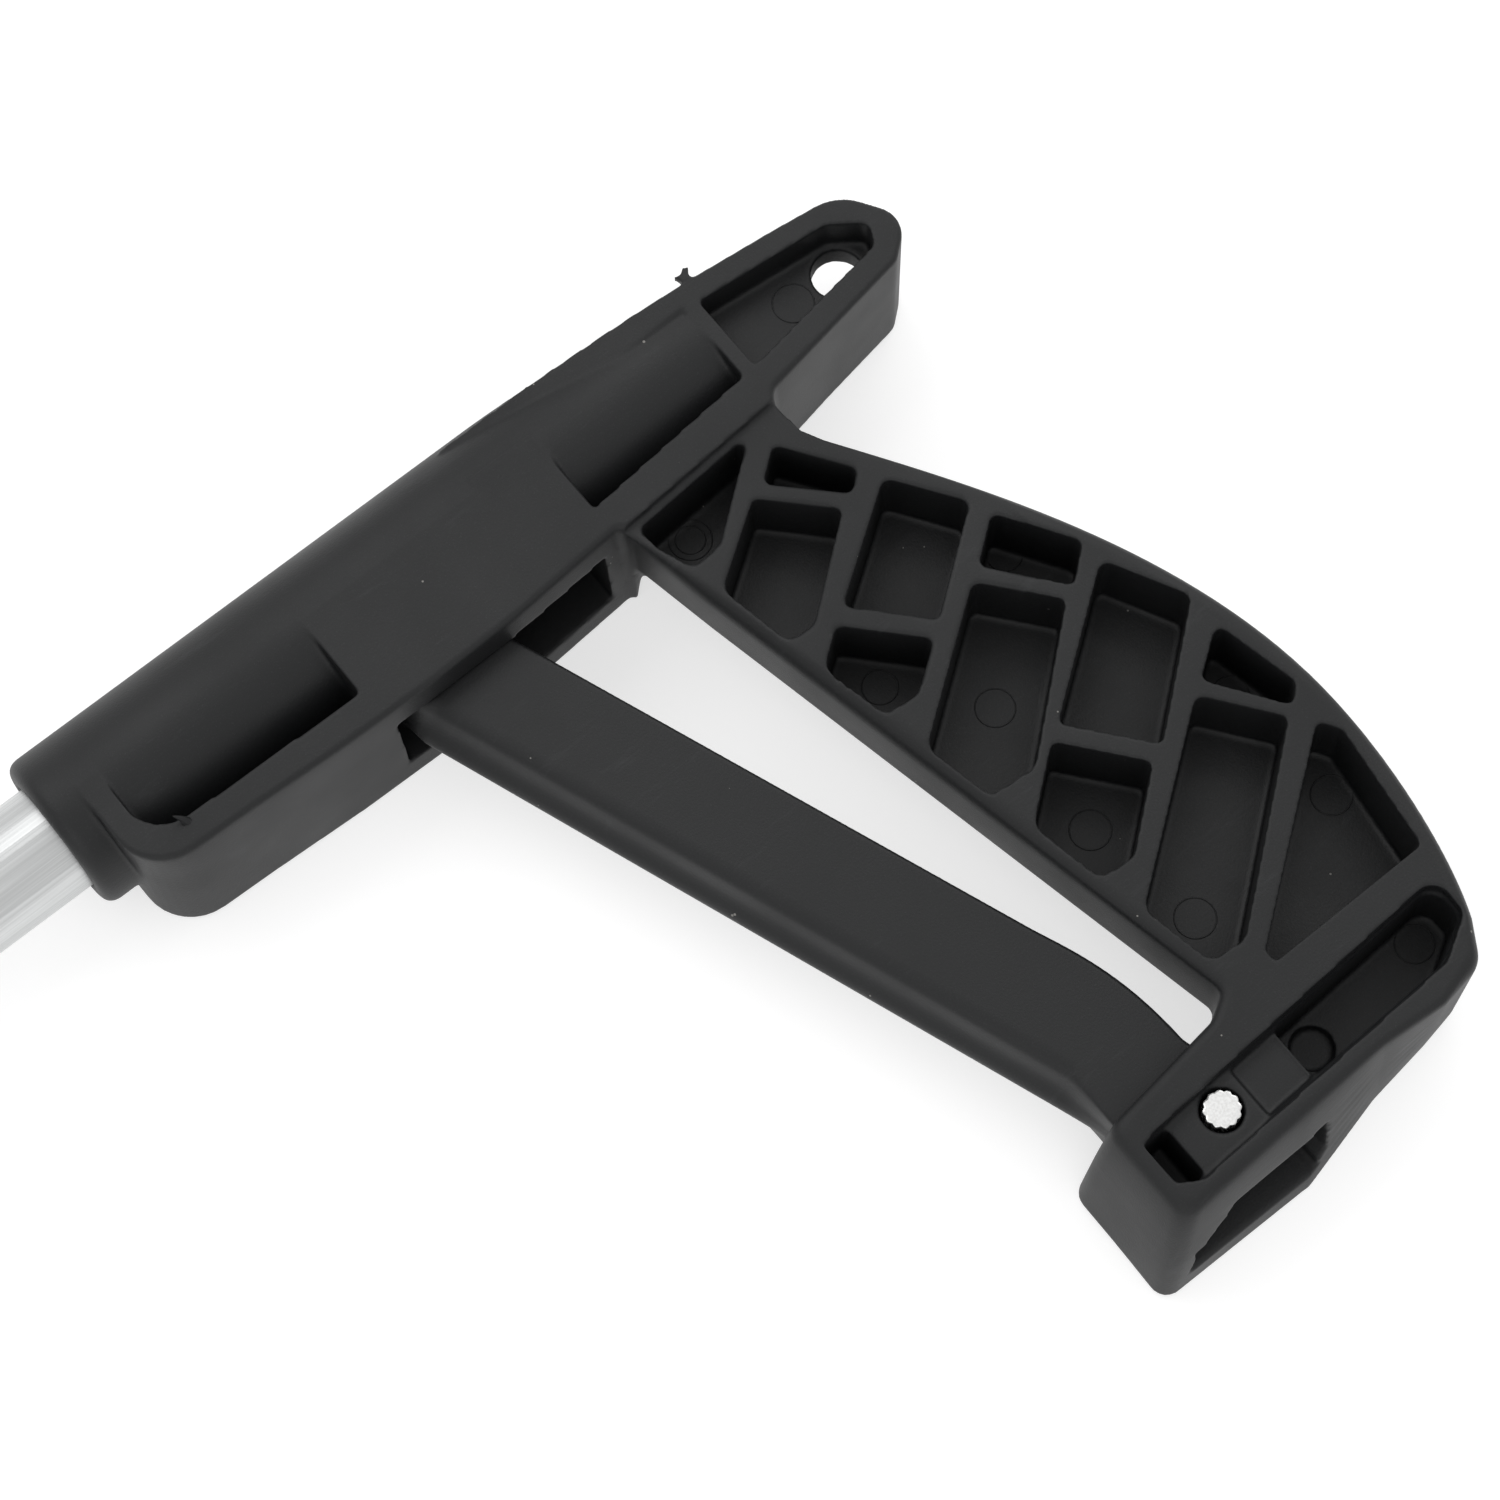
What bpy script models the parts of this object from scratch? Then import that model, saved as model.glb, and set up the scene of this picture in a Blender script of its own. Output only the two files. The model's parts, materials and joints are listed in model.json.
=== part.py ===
"""Trigger-operated pick-up tool: moulded pistol-grip handle, trigger, tube, pull rod and two jaws.

Tool frame, in millimetres: +X along the tube towards the tail of the handle, the tube's axis at Y = 0,
the grip on the -Y side, Z = 0 on the floor and the open, ribbed face of the handle up. Every object hangs
on the empty tool_origin, which brings the middle of the tool to the world's origin.
"""
import math

import bmesh
import bpy
from mathutils import Matrix, Vector

# ---- driving dimensions, mm ----
THICK = 28.0            # thickness of the handle
AXIS_Z = 14.0           # height of the tube's axis
CENTRE = (-172.343, -66.821)  # middle of the tool's bounding box
CLEAR = 0.3             # gap between neighbouring pieces

BARREL_R = 13.85        # outside of the handle round the tube
BARREL_FRONT = -40.6
BARREL_REAR = 93.6
WEB_TOP = 14.0          # floor of the front cells
WEB_BOTTOM = 11.0       # ceiling of the cells on the back
POCKET_FLOOR = 12.0     # floor of the pockets beside the barrel
TIP_FLOOR = 21.0
PAST = 6.0              # how far a cutter runs past an open face

TUBE_R = 9.5
TUBE_WALL = 1.2
TUBE_REAR = 3.0         # end of the tube inside the handle
TUBE_FRONT = -358.6     # end of the tube inside the jaw head
ROD_R = 2.0
ROD_FRONT = -385.0
ROD_REAR = 11.5
GUIDE_BORE_R = 2.4
PLUG_R = 8.0
SCREW_R = 1.5
SCREW_HOLE_R = 1.9
SCREW_SEAT_R = 3.2
SCREW_SEAT_DEPTH = 2.2
TUBE_SCREW_X = -24.0
HEAD_SCREW_X = -338.0

PIVOT = (72.5, -153.0)  # hinge of the trigger
PIVOT_BORE_R = 3.55
TRIGGER_FRONT = (15.2, -24.6)  # top of the squeezed edge
TRIGGER_HEEL = (59.0, -145.0)  # bottom of the squeezed edge
TRIGGER_LOW = 6.4
TRIGGER_HIGH = 21.6
CAVITY_LOW = 6.0        # room for the trigger inside body and bracket
CAVITY_HIGH = 22.0
HUB_R = 7.2
HANG_HOLE = (117.5, -4.6)
HANG_HOLE_R = 4.4

ROD_PIN_X = 19.0        # rod pin at rest
PULL = 17.4             # travel of the rod
SPRING_X = (-45.0, -12.6)
SPRING_R = 5.6
WIRE_R = 0.65
SPRING_TURNS = 8

HEAD_LOW = 3.0
HEAD_HIGH = 25.0
HEAD_SOCKET_R = 14.0
JAW_X = -414.0          # hinge line of the jaws
JAW_Y = 9.0
JAW_TURN = math.radians(24.0)
JAW_LOW = 7.5
JAW_HIGH = 20.5
JAW_PIN_R = 2.0
DRIVE_X = -402.0        # drive pin at rest
TAIL_THICK = 2.5
RIVET_X = -50.0         # in the frame of the closed jaw
PAD_TEETH = 6

MM = 0.001
WELD = 0.000001
ALONG_X = (0.0, math.radians(90), 0.0)  # turns an object's own Z along the tool's X

for old in list(bpy.data.objects):
    bpy.data.objects.remove(old)

TOOL = bpy.data.collections.new("pick_up_tool")
CUTTERS = bpy.data.collections.new("cutters")
CUTTERS.hide_render = True
for group in (TOOL, CUTTERS):
    bpy.context.scene.collection.children.link(group)


def material(name, rgb, rough, metal):
    mat = bpy.data.materials.new(name)
    mat.use_nodes = True
    shader = mat.node_tree.nodes["Principled BSDF"]
    shader.inputs["Base Color"].default_value = (*rgb, 1.0)
    shader.inputs["Roughness"].default_value = rough
    shader.inputs["Metallic"].default_value = metal
    return mat


HANDLE_BLACK = material("handle_black", (0.028, 0.030, 0.032), 0.55, 0.0)
TRIGGER_BLACK = material("trigger_black", (0.030, 0.032, 0.034), 0.50, 0.0)
HEAD_BLACK = material("head_black", (0.027, 0.028, 0.030), 0.55, 0.0)
JAW_BLACK = material("jaw_black", (0.026, 0.027, 0.029), 0.50, 0.0)
RUBBER = material("pad_rubber", (0.045, 0.045, 0.048), 0.85, 0.0)
TUBE_ALUMINIUM = material("tube_aluminium", (0.78, 0.79, 0.80), 0.32, 1.0)
PIN_STEEL = material("pin_steel", (0.80, 0.80, 0.80), 0.20, 1.0)
ROD_STEEL = material("rod_steel", (0.55, 0.55, 0.56), 0.35, 1.0)
SPRING_STEEL = material("spring_steel", (0.45, 0.45, 0.46), 0.35, 1.0)
GUIDE_WHITE = material("guide_nylon", (0.72, 0.71, 0.67), 0.50, 0.0)


# ---- outlines ----
def bezier(p0, p1, p2, p3, count):
    """Points of a cubic curve, without its last point."""
    found = []
    for k in range(count):
        t = k / count
        weights = ((1 - t) ** 3, 3 * t * (1 - t) ** 2, 3 * t * t * (1 - t), t ** 3)
        found.append(tuple(sum(w * p[i] for w, p in zip(weights, (p0, p1, p2, p3))) for i in (0, 1)))
    return found


def rounded(corners, segments=4):
    """Closed outline from corners (x, y, radius, more...): each radius becomes an arc, and the rest is kept."""
    found = []
    for k, corner in enumerate(corners):
        here = Vector(corner[:2])
        radius = corner[2]
        extra = tuple(corner[3:])
        if radius <= 0:
            found.append((here.x, here.y) + extra)
            continue
        before = (Vector(corners[k - 1][:2]) - here).normalized()
        after = (Vector(corners[(k + 1) % len(corners)][:2]) - here).normalized()
        half = math.acos(max(-1.0, min(1.0, before.dot(after)))) / 2
        start = here + before * (radius / math.tan(half))
        end = here + after * (radius / math.tan(half))
        centre = here + (before + after).normalized() * (radius / math.sin(half))
        first = math.atan2(start.y - centre.y, start.x - centre.x)
        last = math.atan2(end.y - centre.y, end.x - centre.x)
        turn = (last - first + math.pi) % (2 * math.pi) - math.pi
        for step in range(segments + 1):
            angle = first + turn * step / segments
            spot = (centre.x + radius * math.cos(angle), centre.y + radius * math.sin(angle))
            found.append(spot + extra)
    return found


def inset(points, depths):
    """Moves each point of a counter-clockwise outline inwards by its own depth."""
    found = []
    for k, (x, y) in enumerate(points):
        ahead = points[(k + 1) % len(points)]
        before = Vector((x - points[k - 1][0], y - points[k - 1][1])).normalized()
        after = Vector((ahead[0] - x, ahead[1] - y)).normalized()
        normal = Vector((-before.y - after.y, before.x + after.x)).normalized()
        lean = max(0.5, normal.dot(Vector((-after.y, after.x))))
        found.append((x + normal.x * depths[k] / lean, y + normal.y * depths[k] / lean))
    return found


def edge_inset(depth, radius):
    """How far an edge of that radius has drawn in at a depth below the face it rounds."""
    if radius <= 0 or depth >= radius:
        return 0.0
    return radius - math.sqrt(radius ** 2 - (radius - depth) ** 2)


def arc(centre, radius, first, last, steps):
    """Points (x, y, no corner radius) from one angle to the other, in degrees."""
    found = []
    for k in range(steps + 1):
        angle = math.radians(first + (last - first) * k / steps)
        found.append((centre[0] + radius * math.cos(angle), centre[1] + radius * math.sin(angle), 0))
    return found


# ---- solids ----
def empty(name, x, y, parent=None, angle=0.0):
    """What pieces hang on: the tool's origin, or a jaw's hinge."""
    obj = bpy.data.objects.new(name, None)
    TOOL.objects.link(obj)
    obj.parent = parent
    obj.location = Vector((x, y, 0.0)) * MM
    obj.rotation_euler.z = angle
    return obj


TOOL_ORIGIN = empty("tool_origin", -CENTRE[0], -CENTRE[1])


def add_object(name, data, mat=None, parent=TOOL_ORIGIN, place=(0, 0, 0), turned=(0, 0, 0)):
    """A part if it has a material, otherwise a cutter."""
    obj = bpy.data.objects.new(name, data)
    obj.parent = parent
    obj.location = Vector(place) * MM
    obj.rotation_euler = turned
    if mat:
        data.materials.append(mat)
        data.shade_smooth()
        data.set_sharp_from_angle(angle=math.radians(30))
        TOOL.objects.link(obj)
    else:
        CUTTERS.objects.link(obj)
        obj.hide_render = True
        obj.display_type = "WIRE"
    return obj


def plate(name, outlines, low, high, mat=None, edge=0.0, parent=TOOL_ORIGIN):
    """Flat piece between two heights: a filled 2-D curve with an extrusion, made a mesh and its caps welded."""
    curve = bpy.data.curves.new(name, "CURVE")
    curve.dimensions = "2D"
    curve.fill_mode = "BOTH"
    curve.extrude = (high - low) / 2 * MM
    for outline in outlines:
        spline = curve.splines.new("POLY")
        spline.points.add(len(outline) - 1)
        for point, spot in zip(spline.points, outline):
            point.co = (spot[0] * MM, spot[1] * MM, 0.0, 1.0)
        spline.use_cyclic_u = True
    flat = bpy.data.objects.new(name, curve)
    bpy.context.scene.collection.objects.link(flat)
    graph = bpy.context.evaluated_depsgraph_get()
    data = bpy.data.meshes.new_from_object(flat.evaluated_get(graph))
    bpy.data.objects.remove(flat)
    bm = bmesh.new()
    bm.from_mesh(data)
    bmesh.ops.remove_doubles(bm, verts=bm.verts, dist=WELD)
    bmesh.ops.dissolve_limit(bm, angle_limit=math.radians(0.1), verts=bm.verts, edges=bm.edges)
    bmesh.ops.recalc_face_normals(bm, faces=bm.faces)
    bm.to_mesh(data)
    bm.free()
    obj = add_object(name, data, mat, parent, (0, 0, (low + high) / 2))
    if edge:
        bevel = obj.modifiers.new("round_edges", "BEVEL")
        bevel.width = edge * MM
        bevel.segments = 2
        bevel.limit_method = "ANGLE"
        bevel.angle_limit = math.radians(50)
        bevel.use_clamp_overlap = False
    return obj


def box(name, x, y, z, mat=None, parent=TOOL_ORIGIN):
    """Box from its (low, high) in x, y and z."""
    bm = bmesh.new()
    bmesh.ops.create_cube(bm, size=MM)
    bmesh.ops.scale(bm, vec=(x[1] - x[0], y[1] - y[0], z[1] - z[0]), verts=bm.verts)
    data = bpy.data.meshes.new(name)
    bm.to_mesh(data)
    bm.free()
    return add_object(name, data, mat, parent, (sum(x) / 2, sum(y) / 2, sum(z) / 2))


def cylinder(name, radius, low, high, place, sides=20, parent=TOOL_ORIGIN, along_y=False):
    """Round cutter between two heights at place (x, y), or between two values of y at place (x, z)."""
    bm = bmesh.new()
    bmesh.ops.create_cone(bm, cap_ends=True, segments=sides, radius1=radius * MM, radius2=radius * MM,
                          depth=(high - low) * MM)
    data = bpy.data.meshes.new(name)
    bm.to_mesh(data)
    bm.free()
    if along_y:
        centre = (place[0], (low + high) / 2, place[1])
        return add_object(name, data, None, parent, centre, (math.radians(90), 0, 0))
    return add_object(name, data, None, parent, (place[0], place[1], (low + high) / 2))


def turned(name, profile, mat=None, steps=48, place=(0, 0, AXIS_Z), turn=ALONG_X, ring=False, parent=TOOL_ORIGIN):
    """Turned piece about its own Z, from (height, radius) pairs down its outer side. A ring closes up its bore."""
    edges = [(k, k + 1) for k in range(len(profile) - 1)]
    if ring:
        edges.append((len(profile) - 1, 0))
    data = bpy.data.meshes.new(name)
    data.from_pydata([(radius * MM, 0.0, height * MM) for height, radius in profile], edges, [])
    obj = add_object(name, data, mat, parent, place, turn)
    screw = obj.modifiers.new("turn", "SCREW")
    screw.axis = "Z"
    screw.steps = steps
    screw.render_steps = steps
    screw.use_merge_vertices = True
    screw.merge_threshold = WELD
    return obj


def bush(name, outer, inner, x0, x1, mat, steps=48):
    """Ring on the tube's axis, its outer edges chamfered."""
    chamfer = 0.4
    profile = [(x1, inner), (x1, outer - chamfer), (x1 - chamfer, outer), (x0 + chamfer, outer),
               (x0, outer - chamfer), (x0, inner)]
    return turned(name, profile, mat, steps, ring=True)


def headed_pin(name, x, y, radius, low, high, head):
    """Upright pin with a flat head at each end."""
    chamfer = 0.3
    thick = 1.0
    profile = [(high, 0), (high, head - chamfer), (high - chamfer, head), (high - thick, head),
               (high - thick, radius), (low + thick, radius), (low + thick, head), (low + chamfer, head),
               (low, head - chamfer), (low, 0)]
    return turned(name, profile, PIN_STEEL, 20, place=(x, y, 0), turn=(0, 0, 0))


def loft(name, levels, mat, origin=(0, 0)):
    """Closed solid through outlines of equal length: its walls lean and its edges round by amounts that vary."""
    bm = bmesh.new()
    rings = []
    for points, z in levels:
        rings.append([bm.verts.new(((x - origin[0]) * MM, (y - origin[1]) * MM, z * MM)) for x, y in points])
    for low, high in zip(rings, rings[1:]):
        for k in range(len(low)):
            ahead = (k + 1) % len(low)
            bm.faces.new((low[k], low[ahead], high[ahead], high[k]))
    bm.faces.new(rings[0][::-1])
    bm.faces.new(rings[-1])
    bmesh.ops.recalc_face_normals(bm, faces=bm.faces)
    data = bpy.data.meshes.new(name)
    bm.to_mesh(data)
    bm.free()
    return add_object(name, data, mat, place=(origin[0], origin[1], 0))


def boolean(target, cutter, operation="DIFFERENCE"):
    modifier = target.modifiers.new(cutter.name, "BOOLEAN")
    modifier.operation = operation
    modifier.solver = "EXACT"
    modifier.object = cutter


# ---- handle body ----
# Corner of the outline: x, y, corner radius, edge rounding at the open face, edge rounding at the back,
# then how far the wall leans out in x and y from the open face down to the back,
# then how steeply the back half draws in again from mid-thickness.
def handle_outline():
    flank = (0.8, 1.0, 0.0, -2.0, 0.0)
    side = (0.8, 1.0, 0.0, 0.0, 0.0)
    back_of_grip = (2.2, 2.4, 0.0, 0.0, 0.0)
    front_of_grip = (4.0, 1.0, 0.0, 0.0, 0.28)
    square = (0.0, 0.0, 0.0, 0.0, 0.0)
    corners = [
        (-34.2, 0.0, 0, *square),
        (-34.2, -19.8, 9, *flank),
        (-14.0, -20.5, 0, *flank),
        (2.0, -21.3, 0, *flank),
        (20.0, -21.6, 0, *flank),
        (38.0, -21.2, 0, *flank),
        (59.8, -19.5, 3, 0.8, 1.0, 0.0, -2.0, 0.0),
        (61.2, -26.0, 0, 3.0, 1.0, 0.0, 0.0, 0.28),
        (63.5, -38.0, 0, *front_of_grip),
        (84.6, -138.9, 2, 1.6, 1.0, 0.0, 0.0, 0.28),
        (80.0, -141.6, 0, 1.4, 2.0, 0.0, 0.0, 0.0),
        (57.2, -144.4, 3, 1.6, 2.0, -6.6, -0.8, 0.0),
        (57.2, -162.4, 3, 1.2, 1.0, -6.6, -5.6, 0.0),
        (81.0, -161.2, 0, 0.8, 1.0, 0.0, -7.0, 0.0),
        (98.0, -161.0, 0, 0.8, 1.0, 0.0, -3.0, 0.0),
        (110.0, -162.4, 0, 1.2, 1.6, 0.0, 0.0, 0.0),
        (118.6, -160.9, 5, *back_of_grip),
    ]
    for x, y in bezier((122.6, -154.5), (126.5, -146.0), (130.0, -130.0), (130.0, -114.5), 6):
        corners.append((x, y, 0, *back_of_grip))
    for x, y in bezier((130.0, -114.5), (130.0, -80.0), (108.4, -48.5), (94.0, -26.0), 9):
        corners.append((x, y, 0, *back_of_grip))
    corners += [
        (93.4, -24.5, 0, 1.0, 1.2, 0.0, 0.0, 0.0),
        (93.0, -16.6, 3, 0.9, 1.0, 0.0, -0.4, 0.0),
        (108.0, -14.2, 0, *side),
        (124.6, -11.4, 3, *side),
        (131.0, -6.0, 5, *side),
        (124.5, 4.3, 9, *side),
        (112.0, 5.9, 0, *side),
        (97.0, 7.5, 0, *side),
        (80.0, 8.8, 0, *side),
        (62.0, 10.1, 0, *side),
        (46.0, 11.0, 0, *square),
        (46.0, 0.0, 0, *square),
    ]
    return rounded(corners)


def handle_levels():
    """Outlines from the back up to the open face, close together where the edges are rounded."""
    outline = handle_outline()
    levels = []
    for depth in (28.0, 27.7, 27.0, 25.8, 24.0, 14.0, 7.0, 4.0, 2.2, 1.0, 0.3, 0.0):
        swell = (depth / THICK) ** 0.6
        below = max(0.0, depth - THICK / 2)
        plan = [(x + lean_x * swell, y + lean_y * swell) for x, y, top, back, lean_x, lean_y, draw in outline]
        depths = [edge_inset(depth, top) + edge_inset(THICK - depth, back) + draw * below
                  for x, y, top, back, lean_x, lean_y, draw in outline]
        levels.append((inset(plan, depths), THICK - depth))
    return levels


# Cells of the grip between its ribs, as corners (x, y, radius).
CELLS = [
    [(88.3, -23.8, 1.2), (96.2, -35.6, 1.2), (92.9, -38.5, 1.2), (82.8, -28.1, 1.2)],
    [(79.9, -29.1, 1.2), (89.9, -39.7, 1.2), (73.6, -52.3, 3), (68.8, -51.9, 2), (66.2, -38.4, 3)],
    [(98.4, -39.7, 1.6), (106.5, -51.7, 1.6), (89.6, -64.2, 1.2), (79.3, -52.8, 1.2)],
    [(76.3, -54.8, 1.2), (86.9, -66.3, 1.2), (78.9, -72.0, 3), (72.8, -71.3, 2), (70.2, -59.2, 3)],
    [(107.9, -55.6, 1.2), (115.9, -68.5, 1.2), (110.0, -73.4, 1.2), (100.5, -61.2, 1.2)],
    [(97.9, -62.8, 1.6), (107.4, -74.5, 1.2), (85.4, -93.0, 3), (77.0, -92.2, 2), (74.4, -79.8, 3)],
    [(116.2, -72.9, 1.6), (123.3, -86.6, 1.6), (103.5, -102.6, 1.2), (93.0, -89.8, 1.2)],
    [(90.2, -91.5, 1.2), (100.3, -104.0, 1.2), (87.9, -114.0, 3), (81.6, -113.4, 2), (79.1, -100.3, 3)],
    [(123.3, -92.8, 1.2), (126.6, -108.0, 1.2), (123.8, -110.8, 1.2), (115.3, -98.4, 1.2)],
    [(112.9, -99.9, 1.6), (121.8, -111.8, 1.2), (92.6, -135.0, 3), (86.2, -134.4, 2), (83.6, -121.6, 3)],
    [(124.9, -115.2, 1.2), (127.0, -118.8, 1.2), (123.9, -140.8, 1.2), (93.9, -140.8, 0.6), (93.9, -138.4, 0.6)],
]
CORNER_CELL = [(62.4, -21.6, 1), (84.4, -19.9, 0.8), (84.6, -21.2, 0.8), (70.8, -31.9, 2), (65.0, -32.4, 2),
               (62.6, -26.0, 2)]
TIP_POCKET = [(94.6, 3.3, 0.6), (119.4, 1.0, 3), (125.2, -3.2, 2), (123.4, -6.9, 1.6), (94.6, -11.3, 0.6)]
# On the back, the tail's far wall is open behind the hanging hole.
BACK_TIP_POCKET = [(94.6, 3.3, 0.6), (113.0, 1.6, 0.6), (113.0, 14.0, 0), (127.0, 14.0, 0), (127.0, -1.4, 0.6),
                   (125.2, -3.6, 1), (123.4, -6.9, 1.2), (94.6, -11.3, 0.6)]
BARREL_POCKET_LEFT = [(-29.9, 4.0, 0), (10.2, 4.0, 0), (10.2, -15.9, 0), (-16.0, -15.3, 0), (-29.9, -14.8, 7)]
BARREL_POCKET_RIGHT = [(58.8, 4.0, 0), (91.8, 4.0, 0), (91.8, -11.6, 0), (58.8, -14.5, 0)]


def cut_grip(handle):
    """Cells between the ribs, on the open face and on the back, and the pockets beside the barrel."""
    cells = [rounded(cell, 3) for cell in CELLS]
    tip = rounded(TIP_POCKET, 3)
    pockets = [rounded(BARREL_POCKET_LEFT, 5), rounded(BARREL_POCKET_RIGHT)]
    boolean(handle, plate("cut_front_cells", cells + [rounded(CORNER_CELL, 3)], WEB_TOP, THICK + PAST))
    boolean(handle, plate("cut_barrel_pockets", pockets, POCKET_FLOOR, THICK + PAST))
    boolean(handle, plate("cut_tip_pocket", [tip], TIP_FLOOR, THICK + PAST))
    back_cells = plate("cut_back_cells", cells, -PAST, WEB_BOTTOM)
    front_wall = [(50, -20), (68.0, -20), (72.3, -38), (93.5, -143), (50, -143)]
    boolean(back_cells, plate("keep_front_wall", [front_wall], -PAST - 2, WEB_BOTTOM + 2))
    boolean(handle, back_cells)
    boolean(handle, plate("cut_back_tip_pocket", [rounded(BACK_TIP_POCKET, 3)], -PAST, 16))


def add_barrel(handle):
    """Barrel round the tube, trimmed where the body narrows, then the tube's bore and the way of the yoke."""
    barrel = turned("add_barrel", [(BARREL_REAR, 0), (BARREL_REAR, BARREL_R), (-38.2, BARREL_R),
                                   (-39.2, BARREL_R - 0.2), (-40.2, BARREL_R - 0.9),
                                   (BARREL_FRONT, BARREL_R - 2.0), (BARREL_FRONT, 0)], steps=64)
    side = [(44, 14.4), (54, 12.9), (66, 11.4), (80, 9.7), (96, 8.1), (96, 30), (44, 30)]
    boolean(barrel, plate("trim_barrel", [side], -PAST, THICK + PAST))
    boolean(handle, barrel, "UNION")
    way = 7.3
    bore = [(20, 0), (20, way), (TUBE_REAR + 0.4, way), (TUBE_REAR + 0.4, TUBE_R + CLEAR),
            (BARREL_FRONT - PAST, TUBE_R + CLEAR), (BARREL_FRONT - PAST, 0)]
    boolean(handle, turned("cut_bore", bore))
    boolean(handle, box("cut_body_cavity", (12.5, 56.0), (-40, 5.6), (CAVITY_LOW, CAVITY_HIGH)))
    boolean(handle, box("cut_tongue_room", (12.6, 48.0), (5.0, 9.6), (10.4, 17.6)))


def cut_bracket(handle):
    """Room for the trigger's hinge end, the slot in the bottom wall, and the stepped pocket round the pin."""
    room = [(57.6, -130, 0), (79.4, -130, 0), (79.4, -142, 0), (84.0, -142, 0), (84.0, -161.8, 3),
            (64.9, -161.8, 3), (64.9, -148.8, 0), (57.6, -148.8, 0)]
    slot = [(56.0, 5.5), (81.0, 5.5), (85.0, 9.5), (85.4, 19.6), (66.0, 19.6), (59.4, 12.5)]
    pocket = [(58.8, -149.6, 2.4), (121.9, -146.0, 3), (121.9, -153.0, 2), (114.4, -157.4, 4), (61.0, -159.8, 3)]
    left = [(58.9, -150.0), (63.9, -149.8), (63.9, -159.0), (61.6, -159.1), (59.2, -157.6)]
    right = [(77.6, -148.9), (87.0, -148.4), (87.0, -157.9), (77.6, -158.4)]
    deep = [(87.1, -148.4, 0), (121.4, -146.6, 3), (121.4, -152.8, 2), (114.2, -156.9, 3), (87.1, -157.8, 0)]
    boolean(handle, plate("cut_bracket_room", [rounded(room)], CAVITY_LOW, CAVITY_HIGH))
    bottom_slot = plate("cut_bracket_slot", [slot], -14, 14)
    bottom_slot.location = Vector((0, -174.5, 0)) * MM
    bottom_slot.rotation_euler.x = math.radians(90)
    boolean(handle, bottom_slot)
    boolean(handle, box("cut_bracket_slot_end", (57.6, 83.0), (-170, -151), (5.6, 12.4)))
    boolean(handle, plate("cut_bracket_pocket", [rounded(pocket)], 25.4, THICK + PAST))
    boolean(handle, plate("cut_bracket_left", [left], WEB_TOP + 0.4, 30))
    boolean(handle, plate("cut_bracket_right", [right], 24.2, 30))
    boolean(handle, plate("cut_bracket_deep", [rounded(deep, 3)], WEB_TOP, 30))


def build_handle():
    handle = loft("handle_body", handle_levels(), HANDLE_BLACK)
    # The shoulder beside the barrel sinks away from the open face towards the tube.
    shoulder = [(92.5, 28.0), (80, 27.5), (70, 26.7), (60, 25.6), (52, 24.4), (44, 23.0), (44, 34), (92.5, 34)]
    wedge = plate("cut_shoulder", [shoulder], -9, 9)
    wedge.location = Vector((0, 11, 0)) * MM
    wedge.rotation_euler.x = math.radians(90)
    boolean(handle, wedge)
    # The grip's face sinks a little towards the tail, below the tail's own face.
    sunk = box("cut_grip_face", (50, 110), (-75, -19), (27.4, 33.4))
    sunk.rotation_euler = (math.radians(-1.43), 0, math.radians(4.2))
    boolean(handle, sunk)
    cut_grip(handle)
    add_barrel(handle)
    cut_bracket(handle)
    boolean(handle, cylinder("cut_pivot_bore", PIVOT_BORE_R, 2.4, THICK + PAST, PIVOT, 24))
    boolean(handle, cylinder("cut_hang_hole", HANG_HOLE_R, -PAST, TIP_FLOOR + 0.5, HANG_HOLE, 32))
    boolean(handle, cylinder("cut_screw_hole", SCREW_HOLE_R, -PAST, PAST, (TUBE_SCREW_X, 0), 16))
    boolean(handle, cylinder("cut_screw_seat", SCREW_SEAT_R, -PAST, SCREW_SEAT_DEPTH, (TUBE_SCREW_X, 0)))


# ---- trigger ----
def trigger_outline():
    plan = [(*TRIGGER_FRONT, 0), (*TRIGGER_HEEL, 2), (66.1, -149.1, 0)]
    plan += arc(PIVOT, HUB_R, 160, 360, 12)
    plan.append((77.2, -144.0, 0))
    plan += [(x, y, 0) for x, y in bezier((76.2, -140.0), (76.0, -131.0), (74.6, -123.4), (70.2, -113.4), 6)]
    plan += [(69.5, -111.6, 0), (38.0, -27.0, 3), (33.0, -14.0, 5), (23.6, -10.5, 3), (14.0, -13.2, 4)]
    return rounded(plan)


def past_front(x, y):
    """Distance of a point behind the line of the squeezed edge."""
    run = Vector(TRIGGER_HEEL) - Vector(TRIGGER_FRONT)
    return ((y - TRIGGER_FRONT[1]) * run.x - (x - TRIGGER_FRONT[0]) * run.y) / run.length


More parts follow.
